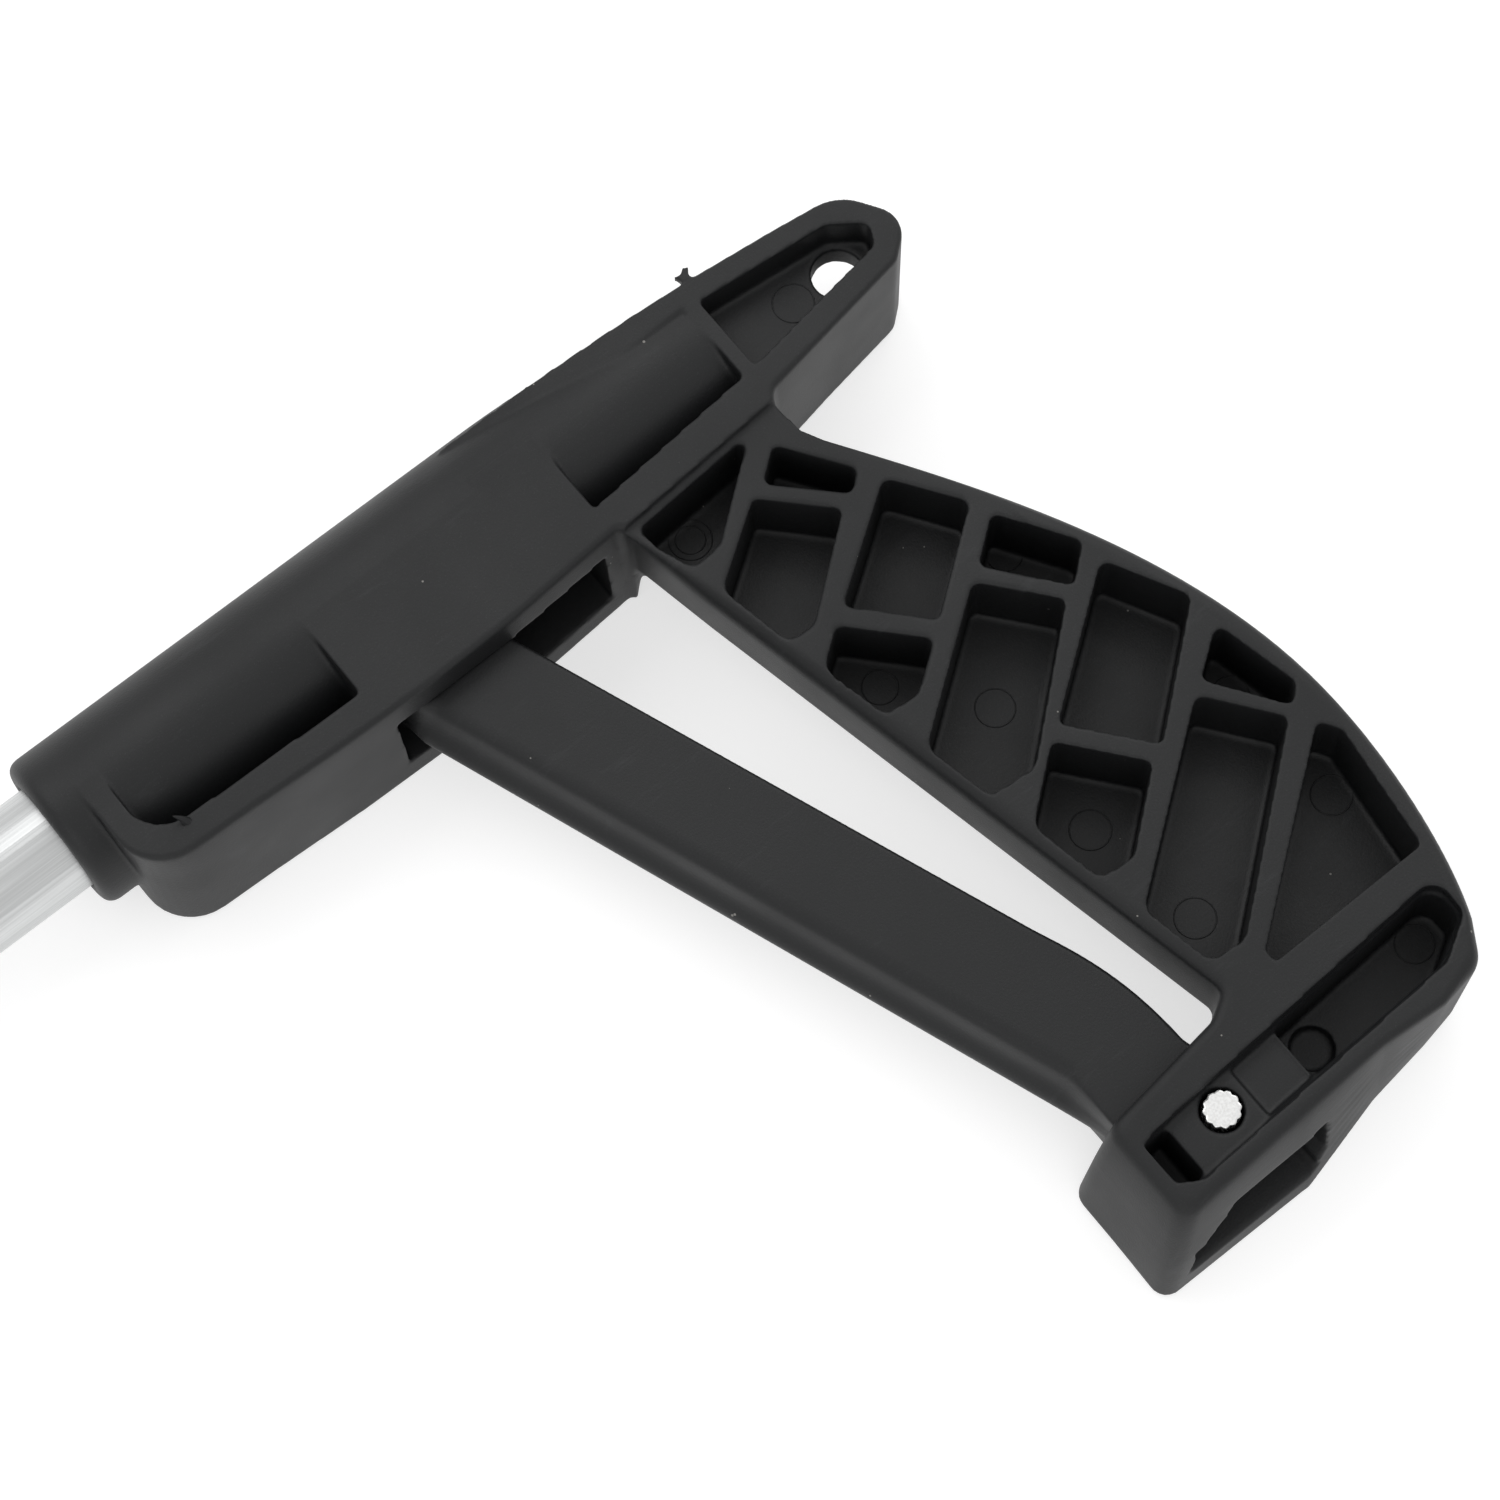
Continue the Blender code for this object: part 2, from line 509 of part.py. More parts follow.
def build_trigger():
    outline = trigger_outline()
    # The squeezed edge is rounded far more than the others.
    soft = [3.4 if past_front(x, y) < 2.4 and -144 < y < -28 else 0.9 for x, y in outline]
    tall = TRIGGER_HIGH - TRIGGER_LOW
    levels = []
    for depth in (tall, tall - 0.3, tall - 1.0, tall - 2.2, tall - 3.6, 3.6, 2.2, 1.0, 0.3, 0.0):
        depths = [edge_inset(depth, radius) + edge_inset(tall - depth, radius) for radius in soft]
        levels.append((inset(outline, depths), TRIGGER_HIGH - depth))
    trigger = loft("trigger", levels, TRIGGER_BLACK, PIVOT)

    # Tongue that reaches into the yoke of the rod, along the line from the hinge to the rod pin.
    up = Vector((ROD_PIN_X - PIVOT[0], -PIVOT[1])).normalized()
    side = Vector((up.y, -up.x))

    def bar(first, last, half, radii):
        spots = ((first, -half), (last, -half), (last, half), (first, half))
        corners = [Vector(PIVOT) + up * along + side * across for along, across in spots]
        return [(corner.x, corner.y, radius) for corner, radius in zip(corners, radii)]

    tongue = rounded(bar(134.0, 165.2, 4.4, (0, 3, 3, 0)))
    slot = rounded(bar(154.9, 164.3, 2.2, (2.1, 2.1, 2.1, 2.1)), 6)
    boolean(trigger, plate("add_tongue", [tongue], 11.5, 16.5), "UNION")
    boolean(trigger, plate("cut_pin_slot", [slot], 4, 24))
    boolean(trigger, cylinder("cut_trigger_bore", PIVOT_BORE_R, 0, 30, PIVOT, 24))

    # Hollow on the side of the grip, with cross ribs left standing.
    slope = (TRIGGER_HEEL[0] - TRIGGER_FRONT[0]) / (TRIGGER_HEEL[1] - TRIGGER_FRONT[1])
    hollows = []
    for top, bottom in ((-27.0, -52.0), (-54.2, -79.0), (-81.2, -106.0), (-108.2, -136.0)):
        skin = 4.6
        near = TRIGGER_FRONT[0] + (top - TRIGGER_FRONT[1]) * slope + skin
        far = TRIGGER_FRONT[0] + (bottom - TRIGGER_FRONT[1]) * slope + skin
        hollows.append([(near, top), (far, bottom), (110, bottom), (110, top)])
    boolean(trigger, plate("cut_hollows", hollows, TRIGGER_LOW + 3, TRIGGER_HIGH - 3))


def build_pivot_pin():
    """Splined pin pressed in from the open face."""
    lobes = 12
    outline = []
    for k in range(lobes * 4):
        angle = 2 * math.pi * k / (lobes * 4)
        radius = 3.02 + 0.18 * math.cos(lobes * angle)
        outline.append((PIVOT[0] + radius * math.cos(angle), PIVOT[1] + radius * math.sin(angle)))
    plate("trigger_pivot_pin", [outline], 2.8, 26.0, PIN_STEEL, edge=0.3)


# ---- tube, rod and spring ----
def build_tube():
    inner = TUBE_R - TUBE_WALL
    break_edge = 0.2
    profile = [(TUBE_REAR, inner), (TUBE_REAR, TUBE_R - break_edge), (TUBE_REAR - break_edge, TUBE_R),
               (TUBE_FRONT + break_edge, TUBE_R), (TUBE_FRONT, TUBE_R - break_edge), (TUBE_FRONT, inner)]
    tube = turned("tube", profile, TUBE_ALUMINIUM, ring=True)
    for end, x in (("rear", TUBE_SCREW_X), ("front", HEAD_SCREW_X)):
        boolean(tube, cylinder("cut_tube_" + end, SCREW_HOLE_R, 0, 9, (x, 0), 16))


def build_screw(name, x):
    """Slotted screw driven up into the tube from the back."""
    profile = [(7.2, 0), (7.2, 1.1), (6.6, SCREW_R), (1.9, SCREW_R), (1.9, 2.8), (0.8, 2.8), (0.4, 2.4),
               (0.4, 0)]
    screw = turned(name, profile, ROD_STEEL, 20, place=(x, 0, 0), turn=(0, 0, 0))
    boolean(screw, box("cut_" + name, (x - 4, x + 4), (-0.4, 0.4), (-1, 0.9)))


def build_rod():
    break_edge = 0.3
    turned("pull_rod", [(ROD_REAR, 0), (ROD_REAR, ROD_R - break_edge), (ROD_REAR - break_edge, ROD_R),
                        (ROD_FRONT + break_edge, ROD_R), (ROD_FRONT, ROD_R - break_edge), (ROD_FRONT, 0)],
           ROD_STEEL, 16)


def rod_socket(name, x0, x1):
    """Cutter for the hole that an end of the rod sits in."""
    return turned(name, [(x1, 0), (x1, ROD_R + CLEAR), (x0, ROD_R + CLEAR), (x0, 0)], steps=16)


def build_yoke():
    body = rounded([(8.6, -4.5, 1), (27.0, -4.5, 2), (27.0, 4.5, 2), (8.6, 4.5, 1)], 3)
    yoke = plate("rod_yoke", [body], 9.0, 19.0, ROD_STEEL, edge=0.5)
    boolean(yoke, box("cut_yoke_slot", (12.4, 40), (-10, 10), (11.2, 16.8)))
    boolean(yoke, cylinder("cut_yoke_pin", 2.1, 0, 30, (ROD_PIN_X, 0)))
    boolean(yoke, rod_socket("cut_yoke_rod", 0, ROD_REAR + CLEAR))


def build_spring():
    """Coil whose first and last turns close up."""
    per_turn = 20
    total = SPRING_TURNS * per_turn
    closed = 1.0 / SPRING_TURNS
    span = SPRING_X[1] - SPRING_X[0] - 2 * WIRE_R
    curve = bpy.data.curves.new("return_spring", "CURVE")
    curve.dimensions = "3D"
    curve.bevel_depth = WIRE_R * MM
    curve.bevel_resolution = 2
    curve.use_fill_caps = True
    curve.materials.append(SPRING_STEEL)
    spline = curve.splines.new("POLY")
    spline.points.add(total)
    for k, point in enumerate(spline.points):
        t = k / total
        if t < closed:
            run = 0.06 * (t / closed) ** 2
        elif t > 1 - closed:
            run = 1 - 0.06 * ((1 - t) / closed) ** 2
        else:
            run = 0.06 + 0.88 * (t - closed) / (1 - 2 * closed)
        angle = 2 * math.pi * SPRING_TURNS * t
        spot = (SPRING_X[0] + WIRE_R + span * run, SPRING_R * math.cos(angle), SPRING_R * math.sin(angle))
        point.co = (spot[0] * MM, spot[1] * MM, spot[2] * MM, 1.0)
    spring = bpy.data.objects.new("return_spring", curve)
    spring.parent = TOOL_ORIGIN
    spring.location.z = AXIS_Z * MM
    TOOL.objects.link(spring)


# ---- jaw head ----
def build_head():
    plan = [(-364.6, 13.2, 4), (-364.6, -13.2, 4), (-376.0, -17.2, 5)]
    plan += arc((JAW_X, -JAW_Y), 11.0, -90, -180, 8)
    plan += arc((JAW_X, JAW_Y), 11.0, 180, 90, 8)
    plan.append((-376.0, 17.2, 5))
    head = plate("jaw_head", [rounded(plan)], HEAD_LOW, HEAD_HIGH, HEAD_BLACK, edge=1.6)
    socket = turned("add_socket", [(-328.8, 0), (-328.8, 12.0), (-329.4, 13.4), (-331.0, HEAD_SOCKET_R),
                                   (-366.0, HEAD_SOCKET_R), (-369.0, 13.2), (-372.0, 11.0), (-372.0, 0)])
    bore = turned("cut_socket", [(-300.0, 0), (-300.0, TUBE_R + CLEAR), (-359.0, TUBE_R + CLEAR), (-359.0, 0)])
    boolean(head, socket, "UNION")
    boolean(head, bore)
    boolean(head, box("cut_jaw_slot", (-450, -377.0), (-40, 40), (10.8, 17.2)))
    boolean(head, box("cut_crosshead_way", (JAW_X - 8.0, -350.0), (-5.6, 5.6), (6.6, 21.4)))
    for side, y in (("left", JAW_Y), ("right", -JAW_Y)):
        boolean(head, cylinder("cut_head_pin_" + side, JAW_PIN_R + 0.4, -PAST, 40, (JAW_X, y)))
    boolean(head, cylinder("cut_head_screw_hole", SCREW_HOLE_R, -PAST, PAST, (HEAD_SCREW_X, 0), 16))
    boolean(head, cylinder("cut_head_screw_seat", SCREW_SEAT_R, -PAST, SCREW_SEAT_DEPTH, (HEAD_SCREW_X, 0)))


def build_crosshead():
    """Block on the end of the rod that carries the drive pin between the tails of the jaws."""
    front = DRIVE_X - 6.0
    rear = DRIVE_X + 23.0
    body = rounded([(front, -5.0, 1.5), (rear, -5.0, 1), (rear, 5.0, 1), (front, 5.0, 1.5)], 3)
    crosshead = plate("crosshead", [body], 7.4, 20.6, GUIDE_WHITE, edge=0.4)
    boolean(crosshead, box("cut_crosshead_slot", (front - 9, DRIVE_X + 15.8), (-20, 20), (10.8, 17.2)))
    boolean(crosshead, cylinder("cut_crosshead_pin", JAW_PIN_R + CLEAR, 0, 30, (DRIVE_X, 0)))
    boolean(crosshead, rod_socket("cut_crosshead_rod", ROD_FRONT - 0.4, ROD_FRONT + 15))
    chamfer = 0.3
    low = 6.8
    high = 21.2
    profile = [(high, 0), (high, JAW_PIN_R - chamfer), (high - chamfer, JAW_PIN_R), (low + chamfer, JAW_PIN_R),
               (low, JAW_PIN_R - chamfer), (low, 0)]
    turned("crosshead_pin", profile, PIN_STEEL, 20, place=(DRIVE_X, 0, 0), turn=(0, 0, 0))


def drive_path():
    """Line of the drive pin in the frame of the closed left jaw: jaw angle is proportional to rod travel."""
    found = []
    for k in range(9):
        share = k / 8
        angle = JAW_TURN * (1 - share)
        x = DRIVE_X - JAW_X + PULL * share
        y = -JAW_Y
        found.append(Matrix.Rotation(angle, 2) @ Vector((x, y)))
    return found


def band(points, half):
    """Outline at a distance from a line of points, with round ends."""
    left = []
    right = []
    for k, here in enumerate(points):
        ahead = (points[min(k + 1, len(points) - 1)] - points[max(k - 1, 0)]).normalized()
        normal = Vector((-ahead.y, ahead.x)) * half
        left.append(here + normal)
        right.append(here - normal)

    def cap(centre, start):
        first = math.degrees(math.atan2(start.y - centre.y, start.x - centre.x))
        return arc(centre, half, first, first - 180, 8)[1:-1]

    return left + cap(points[-1], left[-1]) + right[::-1] + cap(points[0], right[0])


ARM = [(-15.6, 8.6, 1), (-30.0, 10.6, 12), (-46.0, 7.4, 12), (-63.6, -1.4, 1.5), (-63.6, -5.4, 1), (-40.0, -5.4, 3),
       (-33.0, 0.8, 6), (-24.0, 2.0, 5), (-15.6, -0.6, 1)]
TAIL = [(-21.0, 7.6, 0), (-21.0, 3.0, 0), (-8.0, -7.0, 4), (6.0, -9.0, 0), (14.0, -9.3, 8), (24.0, -12.0, 8),
        (29.6, -15.6, 3), (35.4, -12.2, 3), (32.4, -3.6, 5), (22.0, 1.6, 8), (8.0, 5.4, 8), (-4.0, 8.4, 6)]


def pad_outline():
    """Rubber pad with teeth on the gripping side, whose valleys are deepest in the middle."""
    back = -5.8
    tip = -8.5
    pitch = 22.0 / PAD_TEETH
    points = [(-63.0, back), (-41.0, back)]
    for k in range(PAD_TEETH):
        x = -41.0 - k * pitch
        valley = -7.5 - 0.03 * (k - 2) ** 2
        points += [(x, tip), (x - pitch * 0.62, tip), (x - pitch * 0.80, valley)]
    points[-1] = (-63.0, valley)
    return points


def build_jaw(side, sign):
    """Jaw as it stands closed about its own hinge, hung on an empty that turns it open. The right one is mirrored."""
    hinge = empty("jaw_" + side + "_hinge", JAW_X, sign * JAW_Y, TOOL_ORIGIN, -sign * JAW_TURN)

    def mirrored(points):
        return [(point[0], sign * point[1]) for point in points]

    def in_y(low, high):
        return sorted((sign * low, sign * high))

    jaw = plate("jaw_" + side, [mirrored(rounded(ARM))], JAW_LOW, JAW_HIGH, JAW_BLACK, 1.2, hinge)
    low = 14.3 if sign > 0 else 11.2
    tail = plate("add_tail_" + side, [mirrored(rounded(TAIL))], low, low + TAIL_THICK, parent=hinge)
    path = plate("cut_path_" + side, [mirrored(band(drive_path(), JAW_PIN_R + 0.4))], 8, 20, parent=hinge)
    rivet = (RIVET_X, AXIS_Z)
    boolean(jaw, tail, "UNION")
    boolean(jaw, path)
    boolean(jaw, cylinder("cut_hinge_" + side, JAW_PIN_R + 0.4, 8, 20, (0, 0), parent=hinge))
    boolean(jaw, cylinder("cut_rivet_" + side, 1.9, -12, 14, rivet, 16, hinge, along_y=True))
    boolean(jaw, cylinder("cut_seat_" + side, 3.6, *in_y(2.6, 14), rivet, 20, hinge, along_y=True))

    pad = plate("pad_" + side, [mirrored(pad_outline())], 8.1, 19.9, RUBBER, parent=hinge)
    boolean(pad, cylinder("cut_pad_" + side, 1.9, *in_y(-12, -4), rivet, 16, hinge, along_y=True))

    profile = [(4.3, 0), (4.3, 2.2), (3.7, 3.1), (2.9, 3.1), (2.9, 1.5), (-6.9, 1.5), (-7.2, 1.2), (-7.2, 0)]
    upright = (-sign * math.radians(90), 0, 0)
    turned("pad_rivet_" + side, profile, PIN_STEEL, 20, (RIVET_X, 0, AXIS_Z), upright, parent=hinge)
    headed_pin("jaw_pin_" + side, JAW_X, sign * JAW_Y, JAW_PIN_R, 1.6, 26.4, 3.6)


build_handle()
build_trigger()
build_pivot_pin()
build_tube()
build_screw("tube_screw", TUBE_SCREW_X)
bush("tube_plug", PLUG_R, GUIDE_BORE_R, -12.0, 0.4, GUIDE_WHITE)
build_rod()
build_yoke()
headed_pin("rod_yoke_pin", ROD_PIN_X, 0.0, 1.75, 7.4, 20.6, 2.8)
build_spring()
bush("spring_collar", 7.4, ROD_R + CLEAR, -50.0, -45.5, ROD_STEEL, 32)
bush("front_guide", PLUG_R, GUIDE_BORE_R, -357.0, -345.0, GUIDE_WHITE)
build_head()
build_screw("head_screw", HEAD_SCREW_X)
build_crosshead()
build_jaw("left", 1)
build_jaw("right", -1)
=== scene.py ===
"""Looks of the pick-up tool: finer moulded pieces, procedural materials, studio light and camera."""
import json
import math

import bmesh
import bpy
from mathutils import Matrix, Quaternion, Vector


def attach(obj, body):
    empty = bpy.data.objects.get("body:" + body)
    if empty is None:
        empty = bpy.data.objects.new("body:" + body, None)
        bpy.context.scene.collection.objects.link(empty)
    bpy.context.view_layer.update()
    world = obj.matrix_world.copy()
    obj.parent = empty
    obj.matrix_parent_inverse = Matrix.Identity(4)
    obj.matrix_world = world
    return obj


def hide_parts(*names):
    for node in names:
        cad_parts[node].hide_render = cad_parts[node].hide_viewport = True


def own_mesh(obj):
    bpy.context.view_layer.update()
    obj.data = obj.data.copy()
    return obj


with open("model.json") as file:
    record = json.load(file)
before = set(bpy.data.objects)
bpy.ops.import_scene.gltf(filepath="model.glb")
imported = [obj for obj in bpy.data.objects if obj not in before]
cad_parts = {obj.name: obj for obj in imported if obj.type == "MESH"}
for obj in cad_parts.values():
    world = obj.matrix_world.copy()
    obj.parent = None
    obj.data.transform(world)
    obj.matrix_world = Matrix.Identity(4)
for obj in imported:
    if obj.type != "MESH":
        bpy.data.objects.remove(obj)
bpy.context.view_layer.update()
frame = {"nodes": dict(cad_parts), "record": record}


# ---- materials ----
SPECULAR = 0.38
DUST = (0.30, 0.29, 0.27)
MOULDED_BLACK = (0.0075, 0.008, 0.0086)


def node(tree, kind, inputs=None, **settings):
    """Adds a shader node; an input is a value or the socket that feeds it."""
    made = tree.nodes.new("ShaderNode" + kind)
    for name, value in settings.items():
        setattr(made, name, value)
    for name, value in (inputs or {}).items():
        if isinstance(value, bpy.types.NodeSocket):
            tree.links.new(value, made.inputs[name])
        else:
            made.inputs[name].default_value = value
    return made


def new_material(name, roughness, metallic=0.0):
    """Material with a Principled shader, and the object's own coordinates in metres."""
    mat = bpy.data.materials.new(name)
    mat.use_nodes = True
    tree = mat.node_tree
    shader = tree.nodes["Principled BSDF"]
    shader.inputs["Roughness"].default_value = roughness
    shader.inputs["Metallic"].default_value = metallic
    shader.inputs["Specular IOR Level"].default_value = SPECULAR
    place = node(tree, "TexCoord").outputs["Object"]
    return mat, tree, shader, place


def noise(tree, place, scale, detail=2.0, rough=0.5, stretch=None):
    if stretch:
        place = node(tree, "Mapping", {"Vector": place, "Scale": stretch}).outputs[0]
    inputs = {"Vector": place, "Scale": scale, "Detail": detail, "Roughness": rough}
    return node(tree, "TexNoise", inputs).outputs["Fac"]


def ramp(tree, value, low, high, to_low=0.0, to_high=1.0):
    """Stretches the values from low to high over a new range, and keeps them inside it."""
    inputs = {"Value": value, "From Min": low, "From Max": high, "To Min": to_low, "To Max": to_high}
    return node(tree, "MapRange", inputs).outputs[0]


def math_node(tree, operation, a, b=0.0):
    return node(tree, "Math", {0: a, 1: b}, operation=operation).outputs[0]


def mixed_colours(tree, share, *colours):
    """Colour between two of them, each an RGB triple or the socket that feeds it."""
    made = node(tree, "Mix", {"Factor": share}, data_type="RGBA")
    for name, colour in zip("AB", colours):
        # A mix node has inputs of the same name for numbers, vectors and colours.
        socket = [found for found in made.inputs if found.name == name and found.type == "RGBA"][0]
        if isinstance(colour, bpy.types.NodeSocket):
            tree.links.new(colour, socket)
        else:
            socket.default_value = (*colour, 1.0)
    return made.outputs["Result"]


def bump(tree, shader, height, strength, distance, under=None):
    inputs = {"Height": height, "Strength": strength, "Distance": distance}
    if under:
        inputs["Normal"] = under
    made = node(tree, "Bump", inputs)
    tree.links.new(made.outputs[0], shader.inputs["Normal"])
    return made.outputs[0]


def plastic(name, base, roughness, grain=0.5):
    """Moulded black plastic: fine grain, slow waves of the mould, scuffs and a few specks of dust."""
    mat, tree, shader, place = new_material(name, roughness)
    slow = noise(tree, place, 45.0, 3.0)
    fine = noise(tree, place, 2600.0, 2.0, 0.6)
    grit = ramp(tree, noise(tree, place, 3800.0, 1.0, 0.7), 0.62, 0.74, 0.0, 0.30)
    cells = node(tree, "TexVoronoi", {"Vector": place, "Scale": 260.0}, feature="F1")
    speck_size = ramp(tree, noise(tree, place, 120.0, 1.0), 0.54, 0.70, 0.0, 0.060)
    speck = math_node(tree, "LESS_THAN", cells.outputs["Distance"], speck_size)
    scuff = noise(tree, place, 30.0, 6.0, 0.75, (1.0, 6.0, 1.0))
    scuffed = ramp(tree, scuff, 0.60, 0.75)
    light = tuple(min(1.0, channel * 3.2 + 0.006) for channel in base)
    share = math_node(tree, "ADD", math_node(tree, "MULTIPLY", scuffed, 0.45), grit)
    worn = mixed_colours(tree, share, base, light)
    dusty = mixed_colours(tree, math_node(tree, "MULTIPLY", speck, 0.6), worn, DUST)
    tree.links.new(dusty, shader.inputs["Base Color"])
    uneven = ramp(tree, slow, 0.3, 0.7, roughness - 0.05, roughness + 0.07)
    tree.links.new(uneven, shader.inputs["Roughness"])
    waves = bump(tree, shader, slow, 0.25, 0.0004)
    bump(tree, shader, fine, grain, 0.00009, waves)
    return mat


def metal(name, base, roughness, lines, stretch):
    """Bare metal with fine drawing lines along one direction."""
    mat, tree, shader, place = new_material(name, roughness, 1.0)
    along = noise(tree, place, lines, 2.0, 0.5, stretch)
    slow = noise(tree, place, 40.0, 2.0)
    darker = tuple(channel * 0.86 for channel in base)
    shade = mixed_colours(tree, ramp(tree, along, 0.35, 0.65), darker, base)
    tree.links.new(shade, shader.inputs["Base Color"])
    uneven = ramp(tree, slow, 0.3, 0.7, roughness - 0.05, roughness + 0.08)
    tree.links.new(uneven, shader.inputs["Roughness"])
    bump(tree, shader, along, 0.35, 0.00003)
    return mat


def matt(name, base):
    """Dull, finely grained rubber or nylon."""
    mat, tree, shader, place = new_material(name, 0.8)
    fine = noise(tree, place, 1800.0, 3.0, 0.6)
    lighter = tuple(channel * 1.6 for channel in base)
    patches = ramp(tree, noise(tree, place, 90.0, 4.0), 0.3, 0.7)
    tree.links.new(mixed_colours(tree, patches, base, lighter), shader.inputs["Base Color"])
    bump(tree, shader, fine, 0.6, 0.00006)
    return mat


MATERIALS = {
    "handle_black": plastic("handle_black_moulded", MOULDED_BLACK, 0.50),
    "trigger_black": plastic("trigger_black_moulded", MOULDED_BLACK, 0.46, 0.4),
    "head_black": plastic("head_black_moulded", MOULDED_BLACK, 0.50),
    "jaw_black": plastic("jaw_black_moulded", (0.007, 0.0075, 0.008), 0.46),
    "pad_rubber": matt("pad_rubber_matt", (0.022, 0.022, 0.024)),
    "tube_aluminium": metal(
        "tube_aluminium_extruded", (0.66, 0.67, 0.67), 0.42, 3000.0, (0.01, 1.0, 1.0)),
    "pin_steel": metal("pin_steel_bright", (0.96, 0.96, 0.95), 0.30, 2500.0, (1.0, 1.0, 0.02)),
    "rod_steel": metal("rod_steel_drawn", (0.55, 0.55, 0.56), 0.32, 2500.0, (0.02, 1.0, 1.0)),
    "spring_steel": metal("spring_steel_drawn", (0.45, 0.45, 0.46), 0.34, 2500.0, (1.0, 1.0, 1.0)),
    "guide_nylon": matt("guide_nylon_natural", (0.48, 0.47, 0.43)),
}


# ---- outlines, in millimetres of the tool frame ----
MM = 0.001
TOOL_ORIGIN = Vector((0.172343, 0.066821, 0.0))  # on the back plane, under the tube's axis
THICK = 28.0
AXIS_Z = 14.0
BARREL_R = 13.85
TUBE_R = 9.5
CLEAR = 0.3
WEB_TOP = 14.0
WEB_BOTTOM = 11.0
BARREL_POCKET_FLOOR = 12.0
TIP_FLOOR = 21.0
TIP_BACK_CEILING = 16.0
BRACKET_POCKET_FLOOR = 25.4
BRACKET_STEP_FLOOR = 24.2
BRACKET_LEFT_FLOOR = 14.4
PAST = 6.0  # how far a cutter reaches past the faces
PIVOT = (72.5, -153.0)
PIVOT_BORE_R = 3.55
HANG_HOLE = (117.5, -4.6)
HANG_HOLE_R = 4.4
TUBE_SCREW = (-24.0, 0)
TRIGGER_FRONT = (15.2, -24.6)
TRIGGER_HEEL = (59.0, -145.0)
TRIGGER_LOW = 6.4
TRIGGER_HIGH = 21.6
VOXEL = 0.4
HANDLE_FACES = 190000
TRIGGER_FACES = 120000


def bezier(p0, p1, p2, p3, count):
    """Points of a cubic curve, without its last point."""
    found = []
    for k in range(count):
        t = k / count
        weights = ((1 - t) ** 3, 3 * t * (1 - t) ** 2, 3 * t * t * (1 - t), t ** 3)
        spots = list(zip(weights, (p0, p1, p2, p3)))
        found.append(tuple(sum(weight * spot[i] for weight, spot in spots) for i in (0, 1)))
    return found


def rounded(corners, segments=8):
    """Closed outline from corners (x, y, radius, more...): a radius becomes an arc, the rest is kept."""
    found = []
    for k, corner in enumerate(corners):
        here = Vector(corner[:2])
        radius = corner[2]
        extra = tuple(corner[3:])
        if radius <= 0:
            found.append((here.x, here.y) + extra)
            continue
        before = (Vector(corners[k - 1][:2]) - here).normalized()
        after = (Vector(corners[(k + 1) % len(corners)][:2]) - here).normalized()
        half = math.acos(max(-1.0, min(1.0, before.dot(after)))) / 2
        start = here + before * (radius / math.tan(half))
        end = here + after * (radius / math.tan(half))
        centre = here + (before + after).normalized() * (radius / math.sin(half))
        first = math.atan2(start.y - centre.y, start.x - centre.x)
        last = math.atan2(end.y - centre.y, end.x - centre.x)
        turn = (last - first + math.pi) % (2 * math.pi) - math.pi
        for step in range(segments + 1):
            angle = first + turn * step / segments
            spot = (centre.x + radius * math.cos(angle), centre.y + radius * math.sin(angle))
            found.append(spot + extra)
    return found


def inset(points, depths):
    """Moves each point of a counter-clockwise outline inwards by its own depth."""
    found = []
    for k, (x, y) in enumerate(points):
        ahead = points[(k + 1) % len(points)]
        before = Vector((x - points[k - 1][0], y - points[k - 1][1])).normalized()
        after = Vector((ahead[0] - x, ahead[1] - y)).normalized()
        normal = Vector((-before.y - after.y, before.x + after.x)).normalized()
        lean = max(0.5, normal.dot(Vector((-after.y, after.x))))
        found.append((x + normal.x * depths[k] / lean, y + normal.y * depths[k] / lean))
    return found


def edge_inset(depth, radius):
    """How far an edge of that radius has drawn in at a depth below the face it rounds."""
    if radius <= 0 or depth >= radius:
        return 0.0
    return radius - math.sqrt(radius ** 2 - (radius - depth) ** 2)


# ---- solids ----
def add_mesh(name, bm):
    data = bpy.data.meshes.new(name)
    bm.to_mesh(data)
    bm.free()
    obj = bpy.data.objects.new(name, data)
    bpy.context.scene.collection.objects.link(obj)
    return obj


def to_world(x, y, z):
    return Vector((x, y, z)) * MM + TOOL_ORIGIN


def loft(name, levels):
    """Closed solid through outlines of equal length, each (points, z)."""
    bm = bmesh.new()
    rings = [[bm.verts.new(to_world(x, y, z)) for x, y in points] for points, z in levels]
    for low, high in zip(rings, rings[1:]):
        for k in range(len(low)):
            ahead = (k + 1) % len(low)
            bm.faces.new((low[k], low[ahead], high[ahead], high[k]))
    bm.faces.new(rings[0][::-1])
    bm.faces.new(rings[-1])
    bmesh.ops.recalc_face_normals(bm, faces=bm.faces)
    return add_mesh(name, bm)


def prisms(name, outlines, low, high):
    """Upright prisms that don't touch each other."""
    bm = bmesh.new()
    for outline in outlines:
        face = bm.faces.new([bm.verts.new(to_world(spot[0], spot[1], low)) for spot in outline])
        made = bmesh.ops.extrude_face_region(bm, geom=[face])["geom"]
        raised = [item for item in made if isinstance(item, bmesh.types.BMVert)]
        bmesh.ops.translate(bm, verts=raised, vec=(0.0, 0.0, (high - low) * MM))
    bmesh.ops.recalc_face_normals(bm, faces=bm.faces)
    return add_mesh(name, bm)


def box(name, x, y, z):
    return prisms(name, [[(x[0], y[0]), (x[1], y[0]), (x[1], y[1]), (x[0], y[1])]], z[0], z[1])


def along_y(name, outline, low, high):
    """Prism along Y, from an outline in x and z."""
    made = prisms(name, [outline], -high, -low)
    upright = Matrix.Translation(TOOL_ORIGIN) @ Matrix.Rotation(math.radians(90), 4, "X")
    made.data.transform(upright @ Matrix.Translation(-TOOL_ORIGIN))
    return made


